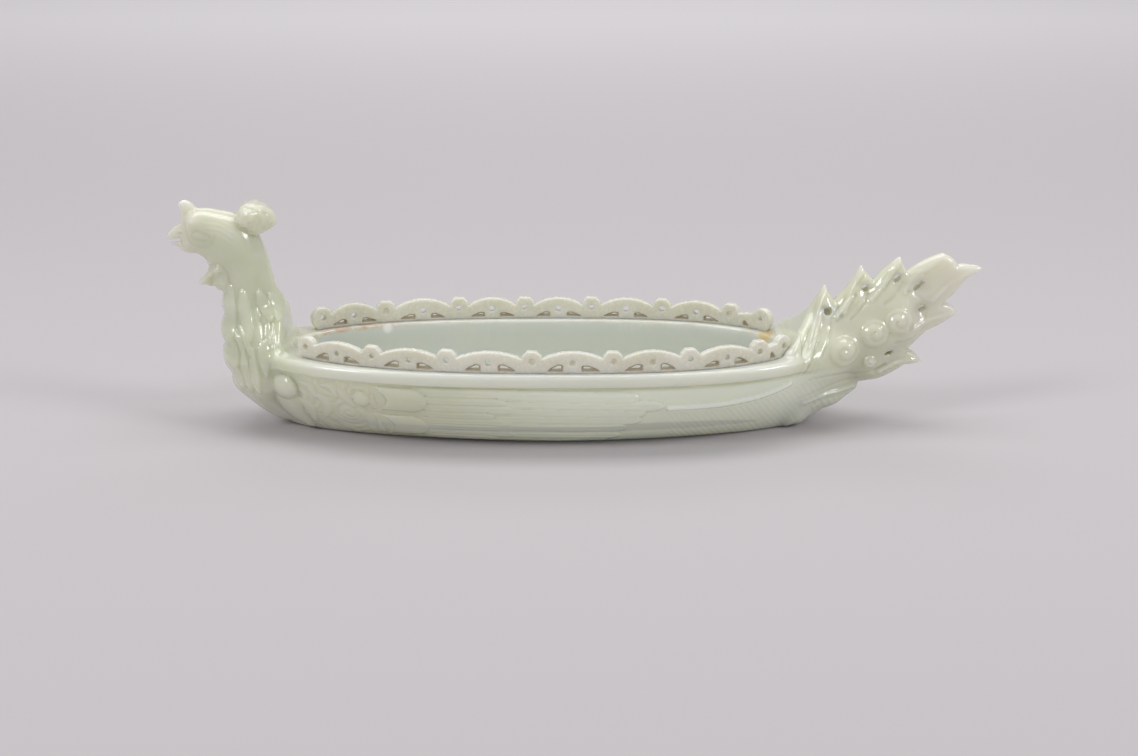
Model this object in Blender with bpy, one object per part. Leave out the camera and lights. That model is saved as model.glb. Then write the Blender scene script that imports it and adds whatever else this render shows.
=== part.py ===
"""A jade boat carved as a phoenix, with a pierced railing glued on each side of its rim.

Metres, +Z up. X runs from the beak (negative) to the tail (positive), Y across the boat, and the
origin is on the ground under the middle of the carving. Sizes below are in millimetres, and MM
turns them into metres when a mesh is made.
"""
from math import ceil, cos, hypot, pi, sin, sqrt

import bmesh
import bpy
from mathutils import Vector, geometry

MM = 0.001

# Hull, seen from above: half breadths, and the reach from the middle to bow and stern
MIDDLE_X = -5.9
RIM_HALF_BREADTH = 30.8
RIM_BOW_REACH = 90.0
RIM_STERN_REACH = 81.0
BOTTOM_HALF_BREADTH = 17.2
BOTTOM_BOW_REACH = 78.0
BOTTOM_STERN_REACH = 71.0
WELL_LEDGE = 6.2
WELL_BOW_REACH = 76.5
WELL_STERN_REACH = 66.0

# Hull, heights and walls
RIM_HEIGHT = 24.3
BAND_HEIGHT = 3.7
BAND_PROUD = 0.9
FLOOR_THICKNESS = 6.0
WELL_ROUND = 9.0
RIM_ROUND = 1.3
SHEER_BOW = 1.0
HULL_SIDES = 98

# Wing carved on each side of the hull
FEATHER_RELIEF = 0.8
FEATHER_ROWS = 7
PRIMARY_FRONT_X = -42.0
PRIMARY_TIP_X = 24.0
SCALE_PITCH = 5.2
SCALE_FRONT_X = -76.0
COVERT_FRONT_X = -58.0
BOSS_X = -83.0
BOSS_Z = 15.5
BOSS_RADIUS = 4.1
RIB_RADIUS = 0.9
TAIL_SHAFT = [(25.9, 13.6), (34.0, 13.6), (42.3, 13.9), (50.9, 15.0), (56.0, 16.2), (60.8, 17.8)]

# Railings: each bay is the distance between two knobs, from bow to stern
RAIL_THICKNESS = 2.4
RAIL_GAP = 0.3
RAIL_LEDGE = 3.2
RAIL_BOW_REACH = 80.0
RAIL_STERN_REACH = 70.0
PORT_HEIGHT = 6.3
PORT_START_X = -78.3
PORT_BAYS = (20.7, 21.4, 23.6, 22.3, 21.5, 21.2, 8.8)
STARBOARD_HEIGHT = 6.7
STARBOARD_START_X = -79.0
STARBOARD_BAYS = (20.1, 22.6, 20.3, 20.6, 21.8, 21.5, 10.7)
KNOB_HALF_WIDTH = 2.6
KNOB_CORNER = 1.2
SADDLE_HEIGHT = 4.1
RAIL_HOLE_RADIUS = 0.8
OPENING_SILL = 0.7
OPENING_HEIGHT = 1.7
OPENING_LENGTH = 4.4
OPENING_INSET = 2.5

# Neck and head
NECK_SIDES = 20
WATTLE_HALF_WIDTH = 2.6
CREST_HALF_WIDTH = 4.6
COMB_HALF_WIDTH = 1.5
BEAK_HALF_WIDTH = 2.7

# Tail
TAIL_ROOT_HALF_WIDTH = 16.0
TAIL_MIDDLE_HALF_WIDTH = 9.0
TAIL_TIP_HALF_WIDTH = 1.8
TAIL_EDGE_HALF_WIDTH = 0.9
TAIL_EDGE_ROUND = 5.0
TAIL_ROOT_X = 64.0
TAIL_MIDDLE_X = 76.0
TAIL_END_X = 117.3
SCROLL_RELIEF = 1.5
FLAME_RIDGE = 1.0
TAIL_GRID = 3.4


def clear_scene():
    for thing in list(bpy.data.objects):
        bpy.data.objects.remove(thing, do_unlink=True)


def material(name, colour, roughness):
    made = bpy.data.materials.new(name)
    made.use_nodes = True
    shader = made.node_tree.nodes["Principled BSDF"]
    shader.inputs["Base Color"].default_value = (*colour, 1.0)
    shader.inputs["Roughness"].default_value = roughness
    made.diffuse_color = (*colour, 1.0)
    return made


def add_object(name, vertices, faces, finish):
    """One closed mesh with outward faces; vertices are in millimetres."""
    mesh = bpy.data.meshes.new(name)
    mesh.from_pydata([Vector(v) * MM for v in vertices], [], faces)
    work = bmesh.new()
    work.from_mesh(mesh)
    bmesh.ops.remove_doubles(work, verts=work.verts, dist=0.00001)
    bmesh.ops.recalc_face_normals(work, faces=work.faces)
    work.to_mesh(mesh)
    work.free()
    mesh.materials.append(finish)
    thing = bpy.data.objects.new(name, mesh)
    bpy.context.scene.collection.objects.link(thing)
    return thing


def loft(name, rings, finish):
    """Rings with as many points each, joined in order, with a flat cap at both ends."""
    count = len(rings[0])
    vertices = [point for ring in rings for point in ring]
    faces = [tuple(range(count))]
    for r in range(len(rings) - 1):
        for i in range(count):
            j = (i + 1) % count
            faces.append((r * count + i, r * count + j, (r + 1) * count + j, (r + 1) * count + i))
    last = (len(rings) - 1) * count
    faces.append(tuple(last + i for i in reversed(range(count))))
    return add_object(name, vertices, faces, finish)


def between(x, pairs):
    """Reads a smooth-enough size along x from a short list of places and values."""
    if x <= pairs[0][0]:
        return pairs[0][1]
    for (x0, v0), (x1, v1) in zip(pairs, pairs[1:]):
        if x <= x1:
            return v0 + (v1 - v0) * (x - x0) / (x1 - x0)
    return pairs[-1][1]


def step_up(value, start, end):
    t = min(max((value - start) / (end - start), 0.0), 1.0)
    return t * t * (3.0 - 2.0 * t)


# Outlines


def arc_points(start, end, bulge, spacing):
    """Points from start up to end along an arc whose middle stands bulge off the chord."""
    (x0, y0), (x1, y1) = start, end
    length = hypot(x1 - x0, y1 - y0)
    steps = max(1, ceil(length / spacing)) if abs(bulge) > 0.05 else 1
    side = (-(y1 - y0) / length, (x1 - x0) / length)
    points = []
    for i in range(steps):
        t = i / steps
        off = 4.0 * bulge * t * (1.0 - t)
        points.append((x0 + (x1 - x0) * t + side[0] * off, y0 + (y1 - y0) * t + side[1] * off))
    return points


def outline(anchors, spacing=3.0):
    """Anchors are (x, z, bulge); each bulge bends the stretch to the next anchor."""
    points = []
    for i, (x, z, bulge) in enumerate(anchors):
        after = anchors[(i + 1) % len(anchors)]
        points += arc_points((x, z), after[:2], bulge, spacing)
    return points


def oval(x, z, long_radius, short_radius, angle=0.0, count=8):
    points = []
    for i in range(count):
        t = 2.0 * pi * i / count
        u, v = long_radius * cos(t), short_radius * sin(t)
        points.append((x + u * cos(angle) - v * sin(angle), z + u * sin(angle) + v * cos(angle)))
    return points


def inside(point, loop):
    x, y = point
    odd = False
    for (x0, y0), (x1, y1) in zip(loop, loop[1:] + loop[:1]):
        if (y0 > y) != (y1 > y) and x < (x1 - x0) * (y - y0) / (y1 - y0) + x0:
            odd = not odd
    return odd


def edge_distance(point, loop):
    nearest = 1e9
    for (x0, y0), (x1, y1) in zip(loop, loop[1:] + loop[:1]):
        dx, dy = x1 - x0, y1 - y0
        t = ((point[0] - x0) * dx + (point[1] - y0) * dy) / (dx * dx + dy * dy)
        t = min(max(t, 0.0), 1.0)
        nearest = min(nearest, hypot(point[0] - x0 - t * dx, point[1] - y0 - t * dy))
    return nearest


def plate(name, loop, holes, extra, place, finish):
    """A closed plate: a flat outline with holes, filled by triangles on both faces.

    place(u, v, face) gives the solid point of an outline point, with face -1 or +1.
    """
    flat, edges = [], []
    for ring in [loop] + holes:
        first = len(flat)
        flat += ring
        edges += [(first + i, first + (i + 1) % len(ring)) for i in range(len(ring))]
    flat += extra
    points = [Vector(p) for p in flat]
    found = geometry.delaunay_2d_cdt(points, edges, [], 0, 0.00001)
    flat = [tuple(p) for p in found[0]]
    triangles = []
    for face in found[2]:
        middle = tuple(sum(flat[k][axis] for k in face) / len(face) for axis in (0, 1))
        if inside(middle, loop) and not any(inside(middle, hole) for hole in holes):
            triangles.append(tuple(face))
    sides = {}
    for face in triangles:
        for a, b in zip(face, face[1:] + face[:1]):
            sides[(a, b)] = True
    count = len(flat)
    vertices = [place(u, v, -1) for u, v in flat] + [place(u, v, 1) for u, v in flat]
    faces = list(triangles)
    faces += [tuple(count + k for k in reversed(face)) for face in triangles]
    for a, b in sides:
        if (b, a) not in sides:
            faces.append((b, a, count + a, count + b))
    used = sorted({k for face in faces for k in face})
    number = {k: i for i, k in enumerate(used)}
    vertices = [vertices[k] for k in used]
    return add_object(name, vertices, [tuple(number[k] for k in face) for face in faces], finish)


# Hull


def plan_point(angle, bow, stern, half, bow_power, stern_power, side_power, middle=MIDDLE_X):
    """A point of a long rounded plan; its reach and breadth follow two powers."""
    c, s = cos(angle), sin(angle)
    reach, power = (stern, stern_power) if c >= 0.0 else (-bow, bow_power)
    x = middle + reach * abs(c) ** (2.0 / power)
    return x, (1.0 if s >= 0.0 else -1.0) * half * abs(s) ** (2.0 / side_power)


def rim_point(angle, inset=0.0):
    return plan_point(angle, RIM_BOW_REACH - inset, RIM_STERN_REACH - inset,
                      RIM_HALF_BREADTH - inset, 2.5, 2.6, 1.85)


def bottom_point(angle):
    return plan_point(angle, BOTTOM_BOW_REACH, BOTTOM_STERN_REACH, BOTTOM_HALF_BREADTH,
                      1.6, 1.6, 1.7)


def well_point(angle, inset=0.0):
    return plan_point(angle, WELL_BOW_REACH - inset, WELL_STERN_REACH - inset,
                      RIM_HALF_BREADTH - WELL_LEDGE - inset, 2.4, 2.6, 2.0)


def sheer(x):
    """How far the rim rises towards the bow."""
    along = (MIDDLE_X - x) / RIM_BOW_REACH
    return SHEER_BOW * min(max(along, 0.0), 1.0) ** 2


def scale_relief(x, z):
    """Overlapping round feathers: each rises towards its free edge."""
    row = round(z / SCALE_PITCH)
    shift = 0.5 * SCALE_PITCH * (row % 2)
    column = (x - SCALE_FRONT_X - shift) / SCALE_PITCH
    local = (column - round(column)) * SCALE_PITCH
    across = z - row * SCALE_PITCH
    far = hypot(local, across) / (0.5 * SCALE_PITCH)
    return FEATHER_RELIEF * (1.0 - min(far, 1.0) ** 2) + 0.2 * FEATHER_RELIEF


def wing_relief(x, z, row):
    """Height of the carving over the plain side of the hull."""
    if x < SCALE_FRONT_X or x > PRIMARY_TIP_X + 3.0:
        return 0.0
    if x < COVERT_FRONT_X:
        return scale_relief(x, z)
    if x < PRIMARY_FRONT_X:
        middle = 16.0 if z > 12.0 else 8.0
        return 1.2 * FEATHER_RELIEF * max(0.0, 1.0 - ((z - middle) / 4.4) ** 2)
    tip = PRIMARY_TIP_X - 0.5 * abs(z - 14.0)
    flute = FEATHER_RELIEF * (1.0 if row % 2 else 0.3)
    return flute * (1.0 - step_up(x, tip - 2.0, tip + 2.0))


def hull_rings():
    angles = [2.0 * pi * (i + 0.5) / HULL_SIDES for i in range(HULL_SIDES)]
    side_height = RIM_HEIGHT - BAND_HEIGHT
    rings = []
    rows = FEATHER_ROWS + 2
    for row in range(rows + 1):
        share = row / rows
        flare = 1.0 - (1.0 - share) ** 2
        ring = []
        for angle in angles:
            low, high = bottom_point(angle), rim_point(angle, BAND_PROUD)
            x = low[0] + (high[0] - low[0]) * flare
            y = low[1] + (high[1] - low[1]) * flare
            z = share * (side_height + sheer(x))
            lift = wing_relief(x, z, row) if 0 < row < rows else 0.0
            ring.append((x, y + (lift if y > 0.0 else -lift), z))
        rings.append(ring)
    soft = 0.3 * RIM_ROUND
    for inset, drop in ((0.0, BAND_HEIGHT - soft), (0.0, RIM_ROUND), (soft, soft), (RIM_ROUND, 0.0)):
        edge = [rim_point(angle, inset) for angle in angles]
        rings.append([(x, y, RIM_HEIGHT - drop + sheer(x)) for x, y in edge])
    depth = RIM_HEIGHT - FLOOR_THICKNESS
    well = [(0.0, 0.0), (0.5, 0.8), (1.0, 0.5 * (depth - WELL_ROUND) + 0.5)]
    well += [(1.2 + WELL_ROUND * (1.0 - cos(t)), depth - WELL_ROUND * (1.0 - sin(t)))
             for t in (0.0, 0.25 * pi, 0.5 * pi)]
    for inset, drop in well:
        edge = [well_point(angle, inset) for angle in angles]
        fall = 1.0 - drop / depth
        rings.append([(x, y, RIM_HEIGHT - drop + sheer(x) * fall) for x, y in edge])
    return rings


def ridge(name, points, radius, finish, sides=6):
    """A thin round rib that follows points and closes in small ends."""
    rings = []
    for i, point in enumerate(points):
        before = Vector(points[max(i - 1, 0)])
        after = Vector(points[min(i + 1, len(points) - 1)])
        along = (after - before).normalized()
        across = along.cross(Vector((0.0, 0.0, 1.0))).normalized()
        up = across.cross(along)
        size = radius * (0.35 if i in (0, len(points) - 1) else 1.0)
        ring = []
        for k in range(sides):
            t = 2.0 * pi * k / sides
            ring.append(Vector(point) + (across * cos(t) + up * sin(t)) * size)
        rings.append(ring)
    return loft(name, rings, finish)


def hull_side_y(x, z):
    """Half breadth of the plain side of the hull at a place along it."""
    share = min(max(z / (RIM_HEIGHT - BAND_HEIGHT + sheer(x)), 0.0), 1.0)
    flare = 1.0 - (1.0 - share) ** 2
    low, high = 0.0, pi
    for _ in range(30):
        angle = 0.5 * (low + high)
        a, b = bottom_point(angle), rim_point(angle, BAND_PROUD)
        if a[0] + (b[0] - a[0]) * flare > x:
            low = angle
        else:
            high = angle
    return a[1] + (b[1] - a[1]) * flare


def tail_feather_rib(side, finish):
    """The raised shaft of the long feather that runs up to the tail."""
    points = [(x, side * hull_side_y(x, z), z) for x, z in TAIL_SHAFT]
    return ridge("rib", points, RIB_RADIUS, finish)


def shoulder_boss(side, finish):
    """The round boss at the shoulder of the wing."""
    middle = hull_side_y(BOSS_X, BOSS_Z)
    rings = []
    for proud, size in ((-0.9, 1.0), (0.15, 1.0), (0.4, 0.75), (0.52, 0.35)):
        y = side * (middle + proud * BOSS_RADIUS)
        rings.append([(BOSS_X + size * BOSS_RADIUS * cos(2.0 * pi * k / 14), y,
                       BOSS_Z + size * BOSS_RADIUS * sin(2.0 * pi * k / 14)) for k in range(14)])
    return loft("boss", rings, finish)


# Neck and head


def neck_ring(front, back, half_width, squareness=2.0, widest=0.45):
    """A ring in the plane through a front and a back point of the profile."""
    (xf, zf), (xb, zb) = front, back
    ring = []
    for i in range(NECK_SIDES):
        t = 2.0 * pi * i / NECK_SIDES
        c, s = cos(t), sin(t)
        power = 2.0 if c > 0.0 else squareness
        reach = (1.0 - widest) if c > 0.0 else -widest
        along = widest + reach * abs(c) ** (2.0 / power)
        across = (1.0 if s >= 0.0 else -1.0) * abs(s) ** (2.0 / power)
        ring.append((xb + (xf - xb) * along, across * half_width, zb + (zf - zb) * along))
    return ring


def neck(finish):
    """Breast, neck and head, from the keel up to the face."""
    stations = [
        ((-86.6, 0.9), (-77.0, 0.9), 4.6, 2.2),
        ((-92.0, 3.9), (-76.0, 3.9), 8.6, 2.4),
        ((-96.6, 8.1), (-78.0, 8.1), 11.6, 3.0),
        ((-100.2, 11.8), (-80.0, 11.8), 13.2, 4.0),
        ((-101.0, 14.3), (-82.0, 14.3), 13.8, 5.0),
        ((-101.1, 16.9), (-83.4, 16.9), 14.0, 6.0),
        ((-103.0, 21.2), (-84.0, 21.0), 14.2, 6.0),
        ((-102.4, 25.6), (-84.2, 25.0), 13.8, 5.0),
        ((-103.2, 29.6), (-84.4, 29.4), 12.4, 4.0),
        ((-101.9, 33.6), (-84.4, 33.6), 10.6, 3.0),
        ((-102.6, 37.4), (-84.6, 36.6), 9.2, 2.4),
        ((-101.6, 40.8), (-85.6, 39.4), 8.2, 2.2),
        ((-101.2, 44.4), (-87.0, 43.4), 7.4, 2.0),
        ((-102.2, 46.8), (-88.0, 47.4), 7.0, 2.0),
        ((-105.6, 48.4), (-89.0, 51.8), 7.0, 2.0),
        ((-107.0, 50.6), (-91.0, 57.0), 6.8, 2.0),
        ((-109.2, 51.8), (-94.6, 62.0), 6.6, 2.0),
        ((-110.8, 52.3), (-99.6, 64.0), 6.3, 2.0),
        ((-111.8, 53.0), (-105.0, 64.4), 5.6, 2.0),
        ((-112.4, 54.2), (-109.4, 63.4), 4.6, 2.0),
        ((-112.7, 55.4), (-111.6, 60.4), 3.0, 2.0),
    ]
    rings = [neck_ring(front, back, half, square) for front, back, half, square in stations]
    return loft("phoenix_boat", rings, finish)


def beak(finish):
    """Hooked upper bill and shorter lower bill, a little apart."""
    upper = [(-108.6, 57.6, 2.8, 1.0), (-112.0, 57.8, 2.4, 1.0), (-115.0, 57.2, 1.5, 0.6),
             (-117.3, 56.0, 0.5, 0.2)]
    lower = [(-107.0, 53.3, 1.6, 1.0), (-110.6, 53.0, 1.2, 0.8), (-114.0, 52.6, 0.6, 0.3)]
    pieces = []
    for name, spine in (("upper_bill", upper), ("lower_bill", lower)):
        rings = []
        for x, z, tall, wide in spine:
            rings.append([(x, BEAK_HALF_WIDTH * wide * sin(2.0 * pi * k / 8),
                           z + tall * cos(2.0 * pi * k / 8)) for k in range(8)])
        pieces.append(loft(name, rings, finish))
    return pieces


def lens_plate(name, loop, half_width, edge, finish, extra=(), middle_y=0.0):
    """A small plate, thin at its edge and full in the middle."""
    def place(u, v, face):
        deep = min(edge_distance((u, v), loop) / 2.2, 1.0)
        swell = sqrt(max(0.0, 1.0 - (1.0 - deep) ** 2))
        return (u, middle_y + face * (edge + (half_width - edge) * swell), v)
    return plate(name, loop, [], list(extra), place, finish)


CREST_ROSETTE = (-93.4, 62.6)
CREST_VEIN = [(-90.4, 62.6), (-88.0, 61.6), (-90.6, 60.0)]


def crest(finish):
    """The swept-back cloud on the crown, a scalloped leaf with a rosette at its root."""
    anchors = [(-95.6, 61.6, 0.8), (-95.3, 64.9, 0.7), (-93.2, 66.4, 0.5), (-90.2, 65.9, 0.5),
               (-87.1, 64.5, 0.5), (-85.4, 62.4, 0.5), (-85.3, 60.4, 0.4), (-87.0, 58.4, 0.5),
               (-90.6, 57.0, 0.4)]
    inner = oval(*CREST_ROSETTE, 1.0, 1.0, count=6) + CREST_VEIN
    return lens_plate("crest", outline(anchors[::-1], 1.2), CREST_HALF_WIDTH, 1.4, finish, inner)


def comb(finish):
    anchors = [(-112.6, 61.6, 0.3), (-113.1, 65.4, 0.3), (-111.9, 67.1, 0.4), (-109.6, 66.6, 0.3),
               (-107.6, 64.9, 0.0), (-107.4, 62.0, 0.0)]
    return lens_plate("comb", outline(anchors[::-1], 1.4), COMB_HALF_WIDTH, 0.6, finish,
                      [(-110.6, 64.2)])


def wattle(finish):
    """The pointed fan leaf under the throat."""
    anchors = [(-103.4, 49.2, 0.0), (-105.4, 47.2, -0.3), (-108.6, 43.1, 0.3), (-106.7, 41.8, 0.3),
               (-104.3, 41.5, 0.4), (-101.1, 40.4, 0.4), (-99.3, 42.6, 0.4), (-99.0, 46.6, 0.0)]
    ridge_line = [(-103.0, 46.2), (-105.4, 44.4)]
    return lens_plate("wattle", outline(anchors, 1.4), WATTLE_HALF_WIDTH, 0.7, finish, ridge_line)


def drop_lobe(name, top, bottom, radius, finish):
    """A long hanging lobe of neck feathers, full below and thin above."""
    shares = ((0.0, 0.25), (0.3, 0.7), (0.7, 1.0), (0.93, 0.6), (1.0, 0.2))
    rings = []
    for along, size in shares:
        centre = Vector(top).lerp(Vector(bottom), along)
        ring = []
        for k in range(6):
            t = 2.0 * pi * k / 6
            ring.append(centre + Vector((cos(t), 0.55 * sin(t), 0.0)) * radius * size)
        rings.append(ring)
    return loft(name, rings, finish)


def hackles(finish):
    """Lappets over the breast and drops down the back of the neck, the same on both sides."""
    lobes = [
        ((-99.0, 7.6, 41.0), (-98.4, 10.9, 31.0), 2.6),
        ((-95.4, 7.8, 40.0), (-94.6, 12.2, 29.0), 2.2),
        ((-97.6, 11.4, 30.0), (-96.6, 12.6, 20.0), 2.4),
        ((-94.4, 12.8, 27.0), (-92.4, 13.8, 13.0), 2.0),
        ((-90.6, 13.0, 27.0), (-88.6, 14.0, 18.0), 1.8),
        ((-88.6, 6.2, 42.4), (-87.2, 7.9, 35.4), 1.5),
        ((-87.2, 4.0, 42.0), (-85.8, 5.6, 35.4), 1.5),
    ]
    pieces = []
    for side in (-1, 1):
        for (x0, y0, z0), (x1, y1, z1), radius in lobes:
            pieces.append(drop_lobe("hackle", (x0, side * y0, z0), (x1, side * y1, z1),
                                    radius, finish))
    return pieces


# Tail

TAIL_OUTLINE = [
    (60.2, 25.6, -0.7), (72.1, 42.4, -0.3), (75.0, 37.6, -0.6), (82.2, 48.1, -0.2),
    (86.0, 43.7, 0.3), (93.3, 50.6, -0.2), (95.6, 46.2, 0.6), (105.3, 51.5, 0.6),
    (110.0, 48.3, 0.2), (113.6, 48.1, 0.3), (117.3, 47.2, 0.3), (113.0, 44.2, 0.2),
    (106.9, 36.9, 0.4), (111.1, 34.1, 0.5), (102.2, 28.5, 0.0), (97.2, 22.9, 0.5),
    (101.5, 19.2, 0.4), (96.6, 18.2, 0.3), (88.4, 13.7, 0.0), (83.2, 12.9, 0.5),
    (81.8, 10.1, 0.5), (73.0, 5.3, 0.3), (66.4, 1.2, 0.0), (62.6, 1.2, 0.0), (62.6, 23.0, 0.0),
]
TAIL_HOLES = [
    (72.7, 35.2, 1.2, 1.2, 0.0), (83.5, 41.6, 1.0, 1.0, 0.0), (92.6, 44.5, 1.5, 0.9, 0.8),
    (98.9, 42.3, 2.1, 0.7, 0.8), (100.3, 35.6, 1.2, 0.85, 0.6), (90.7, 23.1, 1.4, 0.6, 0.25),
]
TAIL_SCROLLS = [(77.1, 24.3, 4.5), (86.0, 29.4, 3.9), (92.8, 32.2, 3.7), (85.9, 20.6, 2.0)]
TAIL_FLAMES = [
    ((65.6, 24.0), (71.3, 40.6)), ((75.6, 33.6), (81.0, 45.4)), ((84.6, 38.4), (92.0, 48.4)),
    ((94.8, 40.6), (104.0, 49.6)), ((102.6, 37.6), (113.6, 46.6)), ((97.6, 29.4), (106.6, 33.8)),
    ((88.6, 17.8), (98.6, 20.4)), ((68.0, 8.0), (80.4, 11.6)),
]


def tail_half_width(x, z):
    """Broad where it grows out of the stern, narrow in the flames above it."""
    pairs = [(TAIL_ROOT_X - 4.0, 0.5 * TAIL_ROOT_HALF_WIDTH), (TAIL_ROOT_X, TAIL_ROOT_HALF_WIDTH),
             (TAIL_MIDDLE_X, TAIL_MIDDLE_HALF_WIDTH), (TAIL_END_X, TAIL_TIP_HALF_WIDTH)]
    above = step_up(z, RIM_HEIGHT - 1.0, RIM_HEIGHT + 15.0)
    below = step_up(RIM_HEIGHT - 4.0 - z, 0.0, RIM_HEIGHT)
    root = 1.0 - step_up(x, TAIL_MIDDLE_X, TAIL_MIDDLE_X + 12.0)
    return between(x, pairs) * (1.0 - (0.7 * above + 0.5 * below) * root)


def tail(finish):
    """The flame-edged tail: one plate, full at its root and thin at its tips."""
    loop = outline(TAIL_OUTLINE, 3.4)[::-1]
    holes = [oval(x, z, a, b, turn) for x, z, a, b, turn in TAIL_HOLES]
    heights = {}

    def add(x, z, height):
        if inside((x, z), loop) and edge_distance((x, z), loop) > 0.9:
            if all(hypot(x - h[0], z - h[1]) > h[2] + 0.7 for h in TAIL_HOLES):
                heights[(round(x, 4), round(z, 4))] = height

    for x, z, radius in TAIL_SCROLLS:
        for share, height in ((1.0, 0.0), (0.68, 1.0), (0.3, 0.35)):
            for px, pz in oval(x, z, radius * share, radius * share, count=8 if share > 0.5 else 4):
                add(px, pz, SCROLL_RELIEF * height)
    for (x0, z0), (x1, z1) in TAIL_FLAMES:
        steps = 3
        for i in range(steps + 1):
            add(x0 + (x1 - x0) * i / steps, z0 + (z1 - z0) * i / steps, FLAME_RIDGE)
    row = 0
    z = TAIL_GRID
    while z < max(point[1] for point in loop):
        x = TAIL_ROOT_X - 1.5 + 0.5 * TAIL_GRID * (row % 2)
        while x < TAIL_END_X:
            near = [hypot(x - p[0], z - p[1]) for p in heights]
            if min(near) > 0.62 * TAIL_GRID and edge_distance((x, z), loop) > 1.6:
                add(x, z, 0.0)
            x += TAIL_GRID
        z += 0.87 * TAIL_GRID
        row += 1

    def place(u, v, face):
        deep = min(edge_distance((u, v), loop) / TAIL_EDGE_ROUND, 1.0)
        swell = sqrt(max(0.0, 1.0 - (1.0 - deep) ** 2))
        full = tail_half_width(u, v)
        half = TAIL_EDGE_HALF_WIDTH + (full - TAIL_EDGE_HALF_WIDTH) * swell
        raised = heights.get((round(u, 4), round(v, 4)), 0.0) * min(1.0, 0.17 * full)
        return (u, face * (half + raised), v)

    return plate("tail", loop, holes, list(heights), place, finish)


# Railings


def rail_plan(x):
    """Half breadth of a railing's middle line."""
    reach, power = (RAIL_STERN_REACH, 2.6) if x > MIDDLE_X else (RAIL_BOW_REACH, 2.4)
    share = min(abs(x - MIDDLE_X) / reach, 1.0)
    return (RIM_HALF_BREADTH - RAIL_LEDGE) * sqrt(1.0 - share ** power)


def rail_path(start_x, length):
    """Points along the middle line with their distance from the bow end."""
    path = [(0.0, (start_x, rail_plan(start_x)))]
    step = 0.4
    while path[-1][0] < length:
        far, (x, y) = path[-1]
        point = (x + step, rail_plan(x + step))
        path.append((far + hypot(step, point[1] - y), point))
    return path


def bend(path, along):
    """The point and the outward direction of the middle line at a distance along it."""
    along = min(max(along, 0.0), path[-1][0])
    for (d0, p0), (d1, p1) in zip(path, path[1:]):
        if along <= d1:
            t = (along - d0) / (d1 - d0)
            point = (p0[0] + (p1[0] - p0[0]) * t, p0[1] + (p1[1] - p0[1]) * t)
            run = hypot(p1[0] - p0[0], p1[1] - p0[1])
            return point, (-(p1[1] - p0[1]) / run, (p1[0] - p0[0]) / run)
    return None


def end_lobe(middle, radius, start, end, steps=7):
    """The round end of a railing, between two angles in half turns."""
    turns = [pi * (start + (end - start) * i / steps) for i in range(steps + 1)]
    return [(middle + radius * cos(t), radius + radius * sin(t)) for t in turns]


def rail_outline(knobs, height):
    """The straight foot and the scalloped top edge: arches between flat-topped knobs."""
    half, radius = KNOB_HALF_WIDTH, 0.5 * height
    points = [(knobs[0] - 0.5 * radius, 0.0)] + end_lobe(knobs[0], radius, 1.2, 0.2)
    for left, right in zip(knobs[:-2], knobs[1:-1]):
        start, end = left + half + 0.3, right - half - 0.3
        for i in range(8):
            t = i / 7
            rise = (height - 0.2 - SADDLE_HEIGHT) * sin(pi * t) ** 0.8
            points.append((start + (end - start) * t, SADDLE_HEIGHT + rise))
        points += [(right - half, SADDLE_HEIGHT + 0.3), (right - half, height - KNOB_CORNER),
                   (right - half + KNOB_CORNER, height), (right + half - KNOB_CORNER, height),
                   (right + half, height - KNOB_CORNER)]
    points.append((knobs[-2] + half, SADDLE_HEIGHT))
    points += end_lobe(knobs[-1], radius, 0.85, -0.2)
    points.append((knobs[-1] + 0.5 * radius, 0.0))
    for left, right in zip(knobs[-2::-1], knobs[:0:-1]):
        pitch = (right - left) / 5
        points += [(right - pitch * i, 0.0) for i in range(5)]
    return points


def rail_openings(knobs):
    """The windows on each side of every arch's middle, and the small one in the short bay."""
    foot, top = OPENING_SILL, OPENING_SILL + OPENING_HEIGHT
    gap = OPENING_LENGTH
    profile = [(0.0, foot), (0.0, top - 0.4), (0.1 * gap, top), (0.3 * gap, top),
               (0.8 * gap, foot + 0.45 * OPENING_HEIGHT), (gap, foot)]
    loops = []
    for left, right in zip(knobs[:-2], knobs[1:-1]):
        middle = 0.5 * (left + right)
        for side in (-1.0, 1.0):
            loops.append([(middle + side * (OPENING_INSET + u), v) for u, v in profile])
    middle = 0.5 * (knobs[-2] + knobs[-1])
    loops.append([(middle + 0.35 * (u - 0.5 * gap), v) for u, v in profile])
    return loops


def rail(name, side, start_x, bays, height, finish):
    """A pierced strip that stands on the rim and follows its curve."""
    radius = 0.5 * height
    knobs = [radius]
    for bay in bays:
        knobs.append(knobs[-1] + bay)
    path = rail_path(start_x, knobs[-1] + radius)
    centres = [(knob, 0.52 * height) for knob in knobs]
    centres += [(0.5 * (a + b), 0.46 * height) for a, b in zip(knobs[:-2], knobs[1:-1])]
    holes = [oval(along, up, RAIL_HOLE_RADIUS, RAIL_HOLE_RADIUS, count=7) for along, up in centres]

    def place(u, v, face):
        (x, y), (nx, ny) = bend(path, u)
        off = 0.5 * RAIL_THICKNESS * face
        z = RIM_HEIGHT + sheer(x) + RAIL_GAP + v
        return (x + nx * off, side * (y + ny * off), z)

    loop = rail_outline(knobs, height)
    return plate(name, loop[::-1], holes + rail_openings(knobs), [], place, finish)


# Joining


def union(base, others):
    """Joins the pieces of the carving into one solid."""
    for k, other in enumerate(others):
        cut = base.modifiers.new(f"join_{k}", "BOOLEAN")
        cut.operation = "UNION"
        cut.solver = "EXACT"
        cut.object = other
    bpy.context.view_layer.update()
    graph = bpy.context.evaluated_depsgraph_get()
    joined = bpy.data.meshes.new_from_object(base.evaluated_get(graph))
    base.modifiers.clear()
    base.data = joined
    for other in others:
        bpy.data.objects.remove(other, do_unlink=True)


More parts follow.
